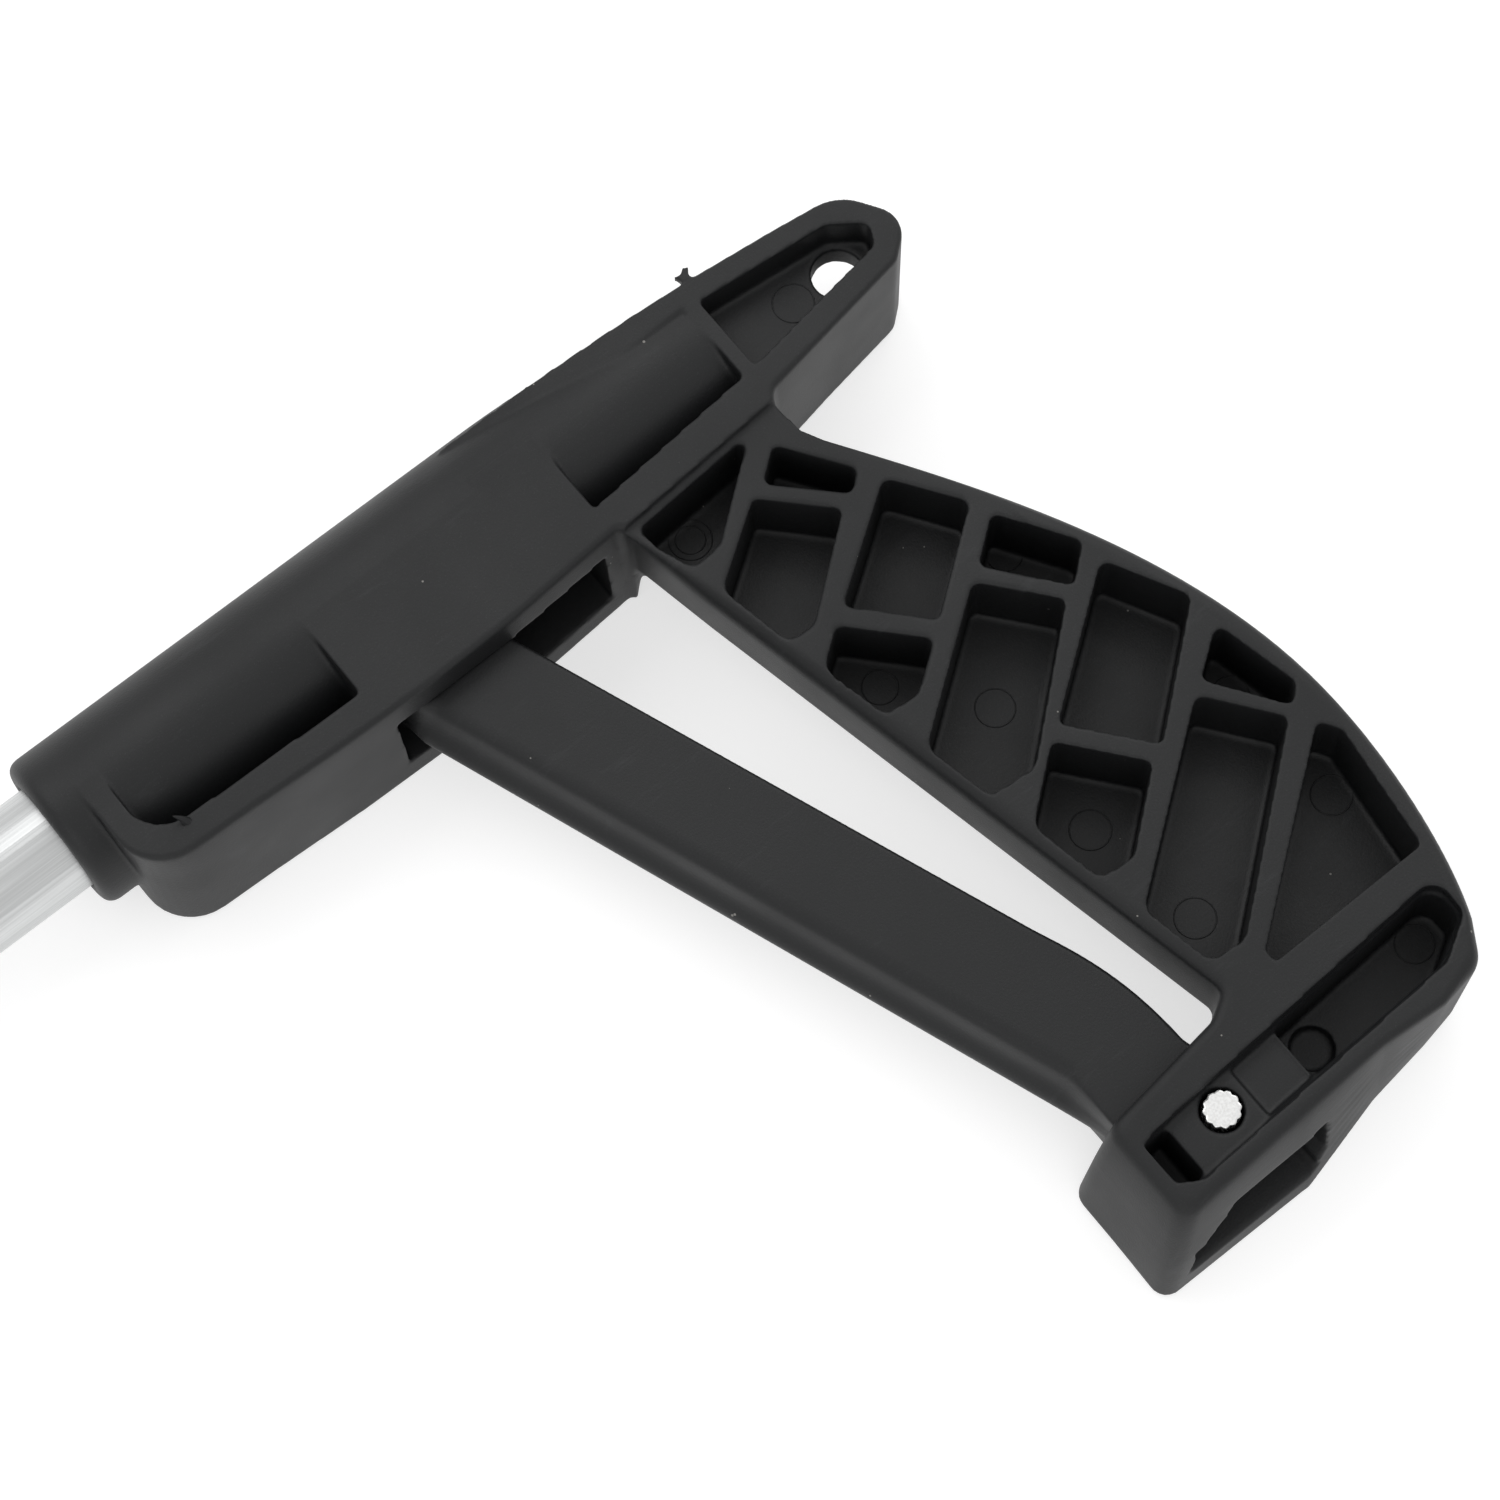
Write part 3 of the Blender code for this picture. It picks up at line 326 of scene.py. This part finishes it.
def cylinder(name, radius, low, high, place, sides=48):
    outline = [(place[0] + radius * math.cos(2 * math.pi * k / sides),
                place[1] + radius * math.sin(2 * math.pi * k / sides)) for k in range(sides)]
    return prisms(name, [outline], low, high)


def turned(name, profile):
    """Turned piece about the tube's axis from (x, radius) pairs, tail end first."""
    bm = bmesh.new()
    spots = [bm.verts.new((radius * MM, 0.0, x * MM)) for x, radius in profile]
    edges = [bm.edges.new(pair) for pair in zip(spots, spots[1:])]
    bmesh.ops.spin(bm, geom=edges + spots, cent=(0, 0, 0), axis=(0, 0, 1), angle=2 * math.pi,
                   steps=128, use_merge=True)
    bmesh.ops.remove_doubles(bm, verts=bm.verts, dist=0.000001)
    turn = Matrix.Translation(to_world(0, 0, AXIS_Z)) @ Matrix.Rotation(math.radians(90), 4, "Y")
    bmesh.ops.transform(bm, matrix=turn, verts=bm.verts)
    bmesh.ops.recalc_face_normals(bm, faces=bm.faces)
    return add_mesh(name, bm)


def boolean(target, cutter, operation="DIFFERENCE"):
    modifier = target.modifiers.new(cutter.name, "BOOLEAN")
    modifier.operation = operation
    modifier.solver = "EXACT"
    modifier.object = cutter


def applied(obj):
    """Applies the modifiers, and removes the cutters they used."""
    cutters = [modifier.object for modifier in obj.modifiers if modifier.type == "BOOLEAN"]
    graph = bpy.context.evaluated_depsgraph_get()
    data = bpy.data.meshes.new_from_object(obj.evaluated_get(graph))
    obj.modifiers.clear()
    obj.data = data
    for cutter in cutters:
        bpy.data.objects.remove(cutter)


def moulded(obj, rounds, most_faces):
    """Gives a sharp solid an even mesh, with its edges and inner corners a little rounded."""
    applied(obj)
    remesh = obj.modifiers.new("even", "REMESH")
    remesh.mode = "VOXEL"
    remesh.voxel_size = VOXEL * MM
    soften = obj.modifiers.new("soften", "SMOOTH")
    soften.factor = 0.5
    soften.iterations = rounds
    applied(obj)
    triangles = 2 * len(obj.data.polygons)
    if triangles > most_faces:
        fewer = obj.modifiers.new("fewer", "DECIMATE")
        fewer.ratio = most_faces / triangles
        applied(obj)
    obj.data.shade_smooth()


def place_on(obj, body, slot, *nodes):
    """Rides a piece on a body, gives it a finish, and hides the CAD nodes it stands for."""
    obj.data.materials.clear()
    obj.data.materials.append(MATERIALS[slot])
    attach(obj, body)
    if nodes:
        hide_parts(*nodes)


# ---- handle ----
# Corner of the outline: x, y, corner radius, edge rounding at the open face, edge rounding at the back,
# then how far the wall leans out in x and y from the open face down to the back,
# then how steeply the back half draws in again from mid-thickness.
def handle_outline():
    flank = (0.6, 1.0, 0.0, -2.0, 0.0)
    side = (0.6, 1.0, 0.0, 0.0, 0.0)
    back_of_grip = (2.2, 2.4, 0.0, 0.0, 0.0)
    front_of_grip = (4.2, 1.0, 0.0, 0.0, 0.28)
    square = (0.0, 0.0, 0.0, 0.0, 0.0)
    corners = [
        (-34.2, 0.0, 0, *square),
        (-34.2, -19.8, 9, *flank),
        (-14.0, -20.5, 0, *flank),
        (2.0, -21.3, 0, *flank),
        (20.0, -21.6, 0, *flank),
        (38.0, -21.2, 0, *flank),
        (59.8, -19.5, 1.2, 0.8, 1.0, 0.0, -2.0, 0.0),
        (60.5, -22.5, 0, 2.0, 1.0, 0.0, 0.0, 0.28),
        (61.2, -26.0, 0, 3.0, 1.0, 0.0, 0.0, 0.28),
        (63.5, -38.0, 0, *front_of_grip),
        (84.6, -138.9, 2, 1.6, 1.0, 0.0, 0.0, 0.28),
        (80.0, -141.6, 0, 1.4, 2.0, 0.0, 0.0, 0.0),
        (57.2, -144.4, 3, 1.6, 2.0, -6.6, -0.8, 0.0),
        (57.2, -162.4, 3, 1.2, 1.0, -6.6, -5.6, 0.0),
        (81.0, -161.2, 0, 0.8, 1.0, 0.0, -7.0, 0.0),
        (98.0, -161.0, 0, 0.8, 1.0, 0.0, -3.0, 0.0),
        (110.0, -162.4, 0, 1.2, 1.6, 0.0, 0.0, 0.0),
        (118.6, -160.9, 5, *back_of_grip),
    ]
    for x, y in bezier((122.6, -154.5), (126.5, -146.0), (130.0, -130.0), (130.0, -114.5), 16):
        corners.append((x, y, 0, *back_of_grip))
    for x, y in bezier((130.0, -114.5), (130.0, -80.0), (108.4, -48.5), (94.0, -26.0), 32):
        corners.append((x, y, 0, *back_of_grip))
    corners += [
        (93.4, -24.5, 0, 1.0, 1.2, 0.0, 0.0, 0.0),
        (93.0, -16.6, 3, 0.9, 1.0, 0.0, -0.4, 0.0),
        (108.0, -14.2, 0, *side),
        (124.6, -11.4, 3, *side),
        (131.0, -6.0, 5, *side),
        (124.5, 4.3, 9, *side),
        (112.0, 5.9, 0, *side),
        (97.0, 7.5, 0, *side),
        (80.0, 8.8, 0, *side),
        (62.0, 10.1, 0, *side),
        (46.0, 11.0, 0, *square),
        (46.0, 0.0, 0, *square),
    ]
    return rounded(corners)


def handle_levels():
    """Outlines from the back up to the open face, close together where the edges are rounded."""
    outline = handle_outline()
    levels = []
    edge = (0.0, 0.1, 0.3, 0.6, 1.0, 1.6, 2.2, 3.0, 4.0, 5.5, 7.0, 10.5)
    for depth in [THICK - step for step in edge] + [THICK / 2] + list(edge[::-1]):
        swell = (depth / THICK) ** 0.6
        below = max(0.0, depth - THICK / 2)
        plan = [(x + lean_x * swell, y + lean_y * swell)
                for x, y, top, back, lean_x, lean_y, draw in outline]
        depths = [edge_inset(depth, top) + edge_inset(THICK - depth, back) + draw * below
                  for x, y, top, back, lean_x, lean_y, draw in outline]
        levels.append((inset(plan, depths), THICK - depth))
    return levels


# Cells of the grip between its ribs, as corners (x, y, radius).
CELLS = [
    [(88.3, -23.8, 1.2), (96.2, -35.6, 1.2), (92.9, -38.5, 1.2), (82.8, -28.1, 1.2)],
    [(79.9, -29.1, 1.2), (89.9, -39.7, 1.2), (73.6, -52.3, 3), (68.8, -51.9, 2), (66.2, -38.4, 3)],
    [(98.4, -39.7, 1.6), (106.5, -51.7, 1.6), (89.6, -64.2, 1.2), (79.3, -52.8, 1.2)],
    [(76.3, -54.8, 1.2), (86.9, -66.3, 1.2), (78.9, -72.0, 3), (72.8, -71.3, 2), (70.2, -59.2, 3)],
    [(107.9, -55.6, 1.2), (115.9, -68.5, 1.2), (110.0, -73.4, 1.2), (100.5, -61.2, 1.2)],
    [(97.9, -62.8, 1.6), (107.4, -74.5, 1.2), (85.4, -93.0, 3), (77.0, -92.2, 2), (74.4, -79.8, 3)],
    [(116.2, -72.9, 1.6), (123.3, -86.6, 1.6), (103.5, -102.6, 1.2), (93.0, -89.8, 1.2)],
    [(90.2, -91.5, 1.2), (100.3, -104.0, 1.2), (87.9, -114.0, 3), (81.6, -113.4, 2), (79.1, -100.3, 3)],
    [(123.3, -92.8, 1.2), (126.6, -108.0, 1.2), (123.8, -110.8, 1.2), (115.3, -98.4, 1.2)],
    [(112.9, -99.9, 1.6), (121.8, -111.8, 1.2), (92.6, -135.0, 3), (86.2, -134.4, 2), (83.6, -121.6, 3)],
    [(124.9, -115.2, 1.2), (127.0, -118.8, 1.2), (123.9, -140.8, 1.2), (93.9, -140.8, 0.6),
     (93.9, -138.4, 0.6)],
]
CORNER_CELL = [
    (62.4, -21.6, 1), (84.4, -19.9, 0.8), (84.6, -21.2, 0.8), (70.8, -31.9, 2), (65.0, -32.4, 2),
    (62.6, -26.0, 2),
]
TIP_POCKET = [
    (94.6, 3.3, 0.6), (119.4, 1.0, 3), (125.2, -3.2, 2), (123.4, -6.9, 1.6), (94.6, -11.3, 0.6),
]
# On the back, the tail's far wall is open behind the hanging hole.
BACK_TIP_POCKET = [
    (94.6, 3.3, 0.6), (113.0, 1.6, 0.6), (113.0, 14.0, 0), (127.0, 14.0, 0), (127.0, -1.4, 0.6),
    (125.2, -3.6, 1), (123.4, -6.9, 1.2), (94.6, -11.3, 0.6),
]
BARREL_POCKET_LEFT = [
    (-29.9, 4.0, 0), (10.2, 4.0, 0), (10.2, -15.9, 0), (-16.0, -15.3, 0), (-29.9, -14.8, 7),
]
BARREL_POCKET_RIGHT = [(58.8, 4.0, 0), (91.8, 4.0, 0), (91.8, -11.6, 0), (58.8, -14.5, 0)]


def cut_grip(handle):
    """Rib cells on both faces of the grip, and the pockets beside the barrel and in the tail."""
    cells = [rounded(cell) for cell in CELLS]
    pockets = [rounded(BARREL_POCKET_LEFT), rounded(BARREL_POCKET_RIGHT)]
    boolean(handle, prisms("cut_front_cells", cells + [rounded(CORNER_CELL)], WEB_TOP, THICK + PAST))
    boolean(handle, prisms("cut_barrel_pockets", pockets, BARREL_POCKET_FLOOR, THICK + PAST))
    boolean(handle, prisms("cut_tip_pocket", [rounded(TIP_POCKET)], TIP_FLOOR, THICK + PAST))
    back_cells = prisms("cut_back_cells", cells, -PAST, WEB_BOTTOM)
    front_wall = [(50, -20), (68.0, -20), (72.3, -38), (93.5, -143), (50, -143)]
    boolean(back_cells, prisms("keep_front_wall", [front_wall], -PAST - 2, WEB_BOTTOM + 2))
    applied(back_cells)
    boolean(handle, back_cells)
    boolean(handle, prisms("cut_back_tip_pocket", [rounded(BACK_TIP_POCKET)], -PAST, TIP_BACK_CEILING))


def add_barrel(handle):
    """Barrel round the tube, trimmed where the body narrows, then the tube's bore and the yoke's way."""
    profile = [(93.6, 0), (93.6, BARREL_R), (-38.4, BARREL_R), (-39.4, BARREL_R - 0.25),
               (-40.2, BARREL_R - 0.9), (-40.6, BARREL_R - 2.0), (-40.6, 0)]
    barrel = turned("add_barrel", profile)
    side = [(44, 14.4), (54, 12.9), (66, 11.4), (80, 9.7), (96, 8.1), (96, 30), (44, 30)]
    boolean(barrel, prisms("trim_barrel", [side], -PAST, THICK + PAST))
    applied(barrel)
    boolean(handle, barrel, "UNION")
    bore = [(20, 0), (20, 7.3), (3.4, 7.3), (3.4, TUBE_R + CLEAR), (-47, TUBE_R + CLEAR), (-47, 0)]
    boolean(handle, turned("cut_bore", bore))
    boolean(handle, box("cut_body_cavity", (12.5, 56.0), (-40, 5.6), (6.0, 22.0)))
    boolean(handle, box("cut_tongue_room", (12.6, 48.0), (5.0, 9.6), (10.4, 17.6)))


def cut_bracket(handle):
    """Room of the trigger's eye, the slot it comes in by, and the stepped pocket round the pin."""
    room = [(57.6, -130, 0), (79.4, -130, 0), (79.4, -142, 0), (84.0, -142, 0), (84.0, -161.8, 3),
            (64.9, -161.8, 3), (64.9, -148.8, 0), (57.6, -148.8, 0)]
    slot = [(56.0, 5.5), (81.0, 5.5), (85.0, 9.5), (85.4, 19.6), (66.0, 19.6), (59.4, 12.5)]
    pocket = [(58.8, -149.6, 2.4), (121.9, -146.0, 3), (121.9, -153.0, 2), (114.4, -157.4, 4),
              (61.0, -159.8, 3)]
    left = [(58.9, -150.0), (63.9, -149.8), (63.9, -159.0), (61.6, -159.1), (59.2, -157.6)]
    right = [(77.6, -148.9), (87.0, -148.4), (87.0, -157.9), (77.6, -158.4)]
    deep = [(87.1, -148.4, 0), (121.4, -146.6, 3), (121.4, -152.8, 2), (114.2, -156.9, 3),
            (87.1, -157.8, 0)]
    boolean(handle, prisms("cut_bracket_room", [rounded(room)], 6.0, 22.0))
    boolean(handle, along_y("cut_bracket_slot", slot, -188.5, -160.5))
    boolean(handle, box("cut_bracket_slot_end", (57.6, 83.0), (-170, -151), (5.6, 12.4)))
    boolean(handle, prisms("cut_bracket_pocket", [rounded(pocket)], BRACKET_POCKET_FLOOR, THICK + PAST))
    boolean(handle, prisms("cut_bracket_left", [left], BRACKET_LEFT_FLOOR, 30))
    boolean(handle, prisms("cut_bracket_right", [right], BRACKET_STEP_FLOOR, 30))
    boolean(handle, prisms("cut_bracket_deep", [rounded(deep)], WEB_TOP, 30))
    boolean(handle, cylinder("cut_bracket_mark", 3.6, 12.8, 20, (92.6, -153.0)))


def build_handle():
    handle = loft("handle_moulding", handle_levels())
    shoulder = [(92.5, 28.0), (80, 27.5), (70, 26.7), (60, 25.6), (52, 24.4), (44, 23.0), (44, 34),
                (92.5, 34)]
    boolean(handle, along_y("cut_shoulder", shoulder, 2, 20))
    # The grip's face sinks a little towards the tail, below the tail's own face.
    sunk = box("cut_grip_face", (-30, 30), (-28, 28), (-3, 3))
    sunk.data.transform(Matrix.Translation(-TOOL_ORIGIN))
    sunk.rotation_euler = (math.radians(-1.43), 0, math.radians(4.2))
    sunk.location = to_world(80, -47, 30.4)
    boolean(handle, sunk)
    cut_grip(handle)
    add_barrel(handle)
    cut_bracket(handle)
    boolean(handle, cylinder("cut_pivot_bore", PIVOT_BORE_R, 2.4, THICK + PAST, PIVOT))
    boolean(handle, cylinder("cut_hang_hole", HANG_HOLE_R, -PAST, TIP_FLOOR + 0.5, HANG_HOLE, 64))
    nub = [(95.0, 6.9), (96.7, 6.7), (96.5, 8.5), (97.4, 9.7), (96.4, 10.1), (95.6, 9.3), (94.4, 9.6),
           (94.8, 8.5)]
    boolean(handle, prisms("add_nub", [nub], 25.4, 27.4), "UNION")
    boolean(handle, cylinder("cut_screw_hole", 1.9, -PAST, PAST, TUBE_SCREW))
    boolean(handle, cylinder("cut_screw_seat", 3.2, -PAST, 2.2, TUBE_SCREW))
    moulded(handle, 5, HANDLE_FACES)
    place_on(handle, "handle", "handle_black", "handle_body")


# ---- trigger ----
def past_front(x, y):
    """Distance of a point behind the line of the squeezed edge."""
    run = Vector(TRIGGER_HEEL) - Vector(TRIGGER_FRONT)
    return ((y - TRIGGER_FRONT[1]) * run.x - (x - TRIGGER_FRONT[0]) * run.y) / run.length


def squeezed_edge(height):
    """How far the squeezed edge draws in at a height above mid-thickness: lip, flare, band, crown."""
    steps = [(0.0, 0.0), (0.7, 0.1), (1.5, 0.6), (2.6, 1.7), (3.6, 2.4), (5.4, 2.9), (6.4, 3.3),
             (7.1, 3.9), (7.5, 4.9), (7.6, 5.8)]
    for (h0, d0), (h1, d1) in zip(steps, steps[1:]):
        if height <= h1:
            return d0 + (d1 - d0) * (height - h0) / (h1 - h0)
    return steps[-1][1]


def trigger_outline():
    plan = [(*TRIGGER_FRONT, 0)]
    for k in range(1, 12):
        plan.append(tuple(a + (b - a) * k / 12 for a, b in zip(TRIGGER_FRONT, TRIGGER_HEEL)) + (0,))
    plan += [(*TRIGGER_HEEL, 2), (66.1, -149.1, 0)]
    for k in range(33):
        angle = math.radians(160 + 200 * k / 32)
        plan.append((PIVOT[0] + 7.2 * math.cos(angle), PIVOT[1] + 7.2 * math.sin(angle), 0))
    plan.append((77.2, -144.0, 0))
    rear = bezier((76.2, -140.0), (76.0, -131.0), (74.6, -123.4), (70.2, -113.4), 20)
    plan += [(x, y, 0) for x, y in rear]
    plan += [(69.5, -111.6, 0), (38.0, -27.0, 3), (33.0, -14.0, 5), (23.6, -10.5, 3), (14.0, -13.2, 4)]
    return rounded(plan)


def build_trigger():
    outline = trigger_outline()
    levels = []
    middle = (TRIGGER_LOW + TRIGGER_HIGH) / 2
    half = (TRIGGER_HIGH - TRIGGER_LOW) / 2
    up = (0.0, 0.35, 0.7, 1.1, 1.5, 2.0, 2.6, 3.1, 3.6, 4.5, 5.4, 6.0, 6.4, 6.75, 7.1, 7.3, 7.45, 7.55,
          7.6)
    for height in [-step for step in up[:0:-1]] + list(up):
        depths = []
        for x, y in outline:
            front = past_front(x, y) < 2.4 and -144 < y < -22
            depths.append(squeezed_edge(abs(height)) if front else edge_inset(half - abs(height), 0.6))
        levels.append((inset(outline, depths), middle + height))
    trigger = loft("trigger_moulding", levels)
    up_line = Vector((19.0 - PIVOT[0], -PIVOT[1])).normalized()
    side = Vector((up_line.y, -up_line.x))

    def bar(first, last, half_width, radii):
        spots = ((first, -half_width), (last, -half_width), (last, half_width), (first, half_width))
        corners = [Vector(PIVOT) + up_line * along + side * across for along, across in spots]
        return rounded([(corner.x, corner.y, radius) for corner, radius in zip(corners, radii)])

    boolean(trigger, prisms("add_tongue", [bar(134.0, 165.2, 4.4, (0, 3, 3, 0))], 11.5, 16.5), "UNION")
    boolean(trigger, prisms("cut_pin_slot", [bar(154.9, 164.3, 2.2, (2.1, 2.1, 2.1, 2.1))], 4, 24))
    boolean(trigger, cylinder("cut_trigger_bore", PIVOT_BORE_R, 0, 30, PIVOT))
    slope = (TRIGGER_HEEL[0] - TRIGGER_FRONT[0]) / (TRIGGER_HEEL[1] - TRIGGER_FRONT[1])
    front_wall = 6.4
    hollows = []
    for top, bottom in ((-27.0, -52.0), (-54.2, -79.0), (-81.2, -106.0), (-108.2, -136.0)):
        near = TRIGGER_FRONT[0] + (top - TRIGGER_FRONT[1]) * slope + front_wall
        far = TRIGGER_FRONT[0] + (bottom - TRIGGER_FRONT[1]) * slope + front_wall
        hollows.append([(near, top), (far, bottom), (110, bottom), (110, top)])
    boolean(trigger, prisms("cut_hollows", hollows, TRIGGER_LOW + 3, TRIGGER_HIGH - 3))
    moulded(trigger, 3, TRIGGER_FACES)
    place_on(trigger, "trigger", "trigger_black", "trigger")


# ---- spring ----
SPRING_ENDS = (-45.0, -12.6)
SPRING_R = 5.6
SPRING_TURNS = 8
WIRE_R = 0.65
WIRE_SIDES = 10
CLOSED_RISE = 0.06  # share of the length that a closed turn climbs


def build_spring():
    """Coil whose first and last turns close up."""
    total = SPRING_TURNS * 36
    closed = 1.0 / SPRING_TURNS
    length = SPRING_ENDS[1] - SPRING_ENDS[0]
    span = length - 2 * WIRE_R
    bm = bmesh.new()
    rings = []
    for k in range(total + 1):
        t = k / total
        if t < closed:
            run = CLOSED_RISE * (t / closed) ** 2
        elif t > 1 - closed:
            run = 1 - CLOSED_RISE * ((1 - t) / closed) ** 2
        else:
            run = CLOSED_RISE + (1 - 2 * CLOSED_RISE) * (t - closed) / (1 - 2 * closed)
        angle = 2 * math.pi * SPRING_TURNS * t
        ring = []
        for j in range(WIRE_SIDES):
            turn = 2 * math.pi * j / WIRE_SIDES
            reach = SPRING_R + WIRE_R * math.cos(turn)
            along = SPRING_ENDS[0] + WIRE_R + span * run + WIRE_R * math.sin(turn)
            ring.append(bm.verts.new(to_world(along, reach * math.cos(angle),
                                              AXIS_Z + reach * math.sin(angle))))
        rings.append(ring)
    for ring, ahead in zip(rings, rings[1:]):
        for j in range(WIRE_SIDES):
            after = (j + 1) % WIRE_SIDES
            bm.faces.new((ring[j], ahead[j], ahead[after], ring[after]))
    bm.faces.new(rings[0])
    bm.faces.new(rings[-1][::-1])
    bmesh.ops.recalc_face_normals(bm, faces=bm.faces)
    spring = add_mesh("return_spring_coil", bm)
    spring.data.shade_smooth()
    place_on(spring, "handle", "spring_steel", "return_spring")
    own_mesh(spring)


# ---- traces of moulding ----
# Circles that ejector pins left, as x, y, height and radius.
EJECTOR_MARKS = [
    (70.5, -24.1, 14.0, 3.6),
    (70.5, -24.1, 14.0, 2.5),
    (108.4, -4.2, 21.0, 3.5),
    (90.5, -78.1, 14.0, 3.3),
    (89.0, -103.6, 14.0, 3.4),
    (92.4, -125.3, 14.0, 3.4),
    (122.8, -123.5, 14.0, 3.4),
    (78.3, -63.6, 14.0, 3.0),
    (108.8, -58.6, 14.0, 3.0),
    (121.6, -100.2, 14.0, 3.0),
    (116.5, -150.4, 14.0, 3.2),
]


RING_R = 0.13
RING_STEPS = 56
RING_SIDES = 6


def add_ring(bm, x, y, z, radius):
    """Fine raised circle, half sunk in the face under it."""
    rings = []
    for k in range(RING_STEPS):
        angle = 2 * math.pi * k / RING_STEPS
        ring = []
        for j in range(RING_SIDES):
            turn = 2 * math.pi * j / RING_SIDES
            reach = radius + RING_R * math.cos(turn)
            ring.append(bm.verts.new(to_world(x + reach * math.cos(angle), y + reach * math.sin(angle),
                                              z + RING_R * math.sin(turn))))
        rings.append(ring)
    for k, ring in enumerate(rings):
        ahead = rings[(k + 1) % RING_STEPS]
        for j in range(RING_SIDES):
            after = (j + 1) % RING_SIDES
            bm.faces.new((ring[j], ahead[j], ahead[after], ring[after]))


def build_marks():
    bm = bmesh.new()
    for x, y, z, radius in EJECTOR_MARKS:
        add_ring(bm, x, y, z, radius)
    bmesh.ops.recalc_face_normals(bm, faces=bm.faces)
    marks = add_mesh("ejector_marks", bm)
    marks.data.shade_smooth()
    place_on(marks, "handle", "handle_black")


def build_burr():
    """Curled flake left standing at the corner of the rim."""
    base = (-23.6, -16.4)
    foot, height = 27.6, 2.4
    levels = []
    for step in range(9):
        rise = step / 8
        radius = (1 - rise) ** 0.8 + 0.04
        spot = (base[0] - 1.5 * rise ** 1.6, base[1] + 1.9 * rise)
        circle = []
        for k in range(14):
            angle = 2 * math.pi * k / 14
            wide = radius * (1.0 if k % 3 else 0.72)
            circle.append((spot[0] + wide * math.cos(angle), spot[1] + 0.6 * wide * math.sin(angle)))
        levels.append((circle, foot + height * rise))
    burr = loft("rim_burr", levels)
    burr.data.shade_smooth()
    place_on(burr, "handle", "handle_black")


def finish_cad_nodes():
    """Gives each CAD node the procedural material of its slot."""
    for part in frame["record"]["subparts"]:
        obj = frame["nodes"][part["node"]]
        for slot in obj.material_slots:
            slot.material = MATERIALS[part["material_slot"]]


# ---- stage, light and camera ----
FLOOR_SIZE = 4.0
FLOOR_GLOW = 0.64
WORLD_LIGHT = 0.76
MIDDLE = (0.2, 0.0, 0.0)
# Lamps, as name, place, width, height and power.
LAMPS = [
    ("key", (-0.7, -0.9, 1.1), 1.2, 1.2, 2.5),
    ("fill", (1.3, 0.5, 1.1), 1.2, 1.2, 4.5),
    ("top", (0.1, 0.9, 1.3), 1.4, 0.8, 5.0),
]


def build_floor():
    """White table top, its face just under the tool."""
    bm = bmesh.new()
    bmesh.ops.create_grid(bm, x_segments=1, y_segments=1, size=FLOOR_SIZE)
    data = bpy.data.meshes.new("floor")
    bm.to_mesh(data)
    bm.free()
    floor = bpy.data.objects.new("floor", data)
    bpy.context.scene.collection.objects.link(floor)
    floor.location = (0.0, 0.0, -0.0003)
    mat, tree, shader, place = new_material("floor_white", 0.9)
    shade = mixed_colours(tree, noise(tree, place, 8.0, 3.0), (0.50, 0.50, 0.50), (0.52, 0.52, 0.52))
    tree.links.new(shade, shader.inputs["Base Color"])
    shader.inputs["Emission Color"].default_value = (1.0, 1.0, 1.0, 1.0)
    shader.inputs["Emission Strength"].default_value = FLOOR_GLOW
    data.materials.append(mat)


def softbox(name, place, width, height, power):
    """Rectangular lamp that looks at the middle of the handle."""
    data = bpy.data.lights.new(name, "AREA")
    data.shape = "RECTANGLE"
    data.size = width
    data.size_y = height
    data.energy = power
    lamp = bpy.data.objects.new(name, data)
    bpy.context.scene.collection.objects.link(lamp)
    lamp.location = place
    lamp.rotation_euler = (Vector(MIDDLE) - Vector(place)).to_track_quat("-Z", "Y").to_euler()


def build_light():
    world = bpy.data.worlds.new("studio")
    world.use_nodes = True
    background = world.node_tree.nodes["Background"]
    background.inputs["Color"].default_value = (1.0, 1.0, 1.0, 1.0)
    background.inputs["Strength"].default_value = WORLD_LIGHT
    bpy.context.scene.world = world
    for name, place, width, height, power in LAMPS:
        softbox(name, place, width, height, power)


CAMERA_PLACE = Vector((0.1002, -0.1638, 0.6400))
CAMERA_AIM = Vector((0.2247, 0.0043, 0.0280))
CAMERA_ROLL = math.radians(-2.45)
SENSOR = 36.0
LENS = 98.4


def build_camera():
    data = bpy.data.cameras.new("camera")
    data.sensor_width = SENSOR
    data.lens = LENS
    camera = bpy.data.objects.new("camera", data)
    bpy.context.scene.collection.objects.link(camera)
    camera.location = CAMERA_PLACE
    level = (CAMERA_AIM - CAMERA_PLACE).to_track_quat("-Z", "Y")
    camera.rotation_mode = "QUATERNION"
    camera.rotation_quaternion = level @ Quaternion((0.0, 0.0, 1.0), CAMERA_ROLL)
    bpy.context.scene.camera = camera


finish_cad_nodes()
build_handle()
build_trigger()
build_spring()
build_marks()
build_burr()
build_floor()
build_light()
build_camera()
bpy.context.scene.view_settings.view_transform = "Standard"
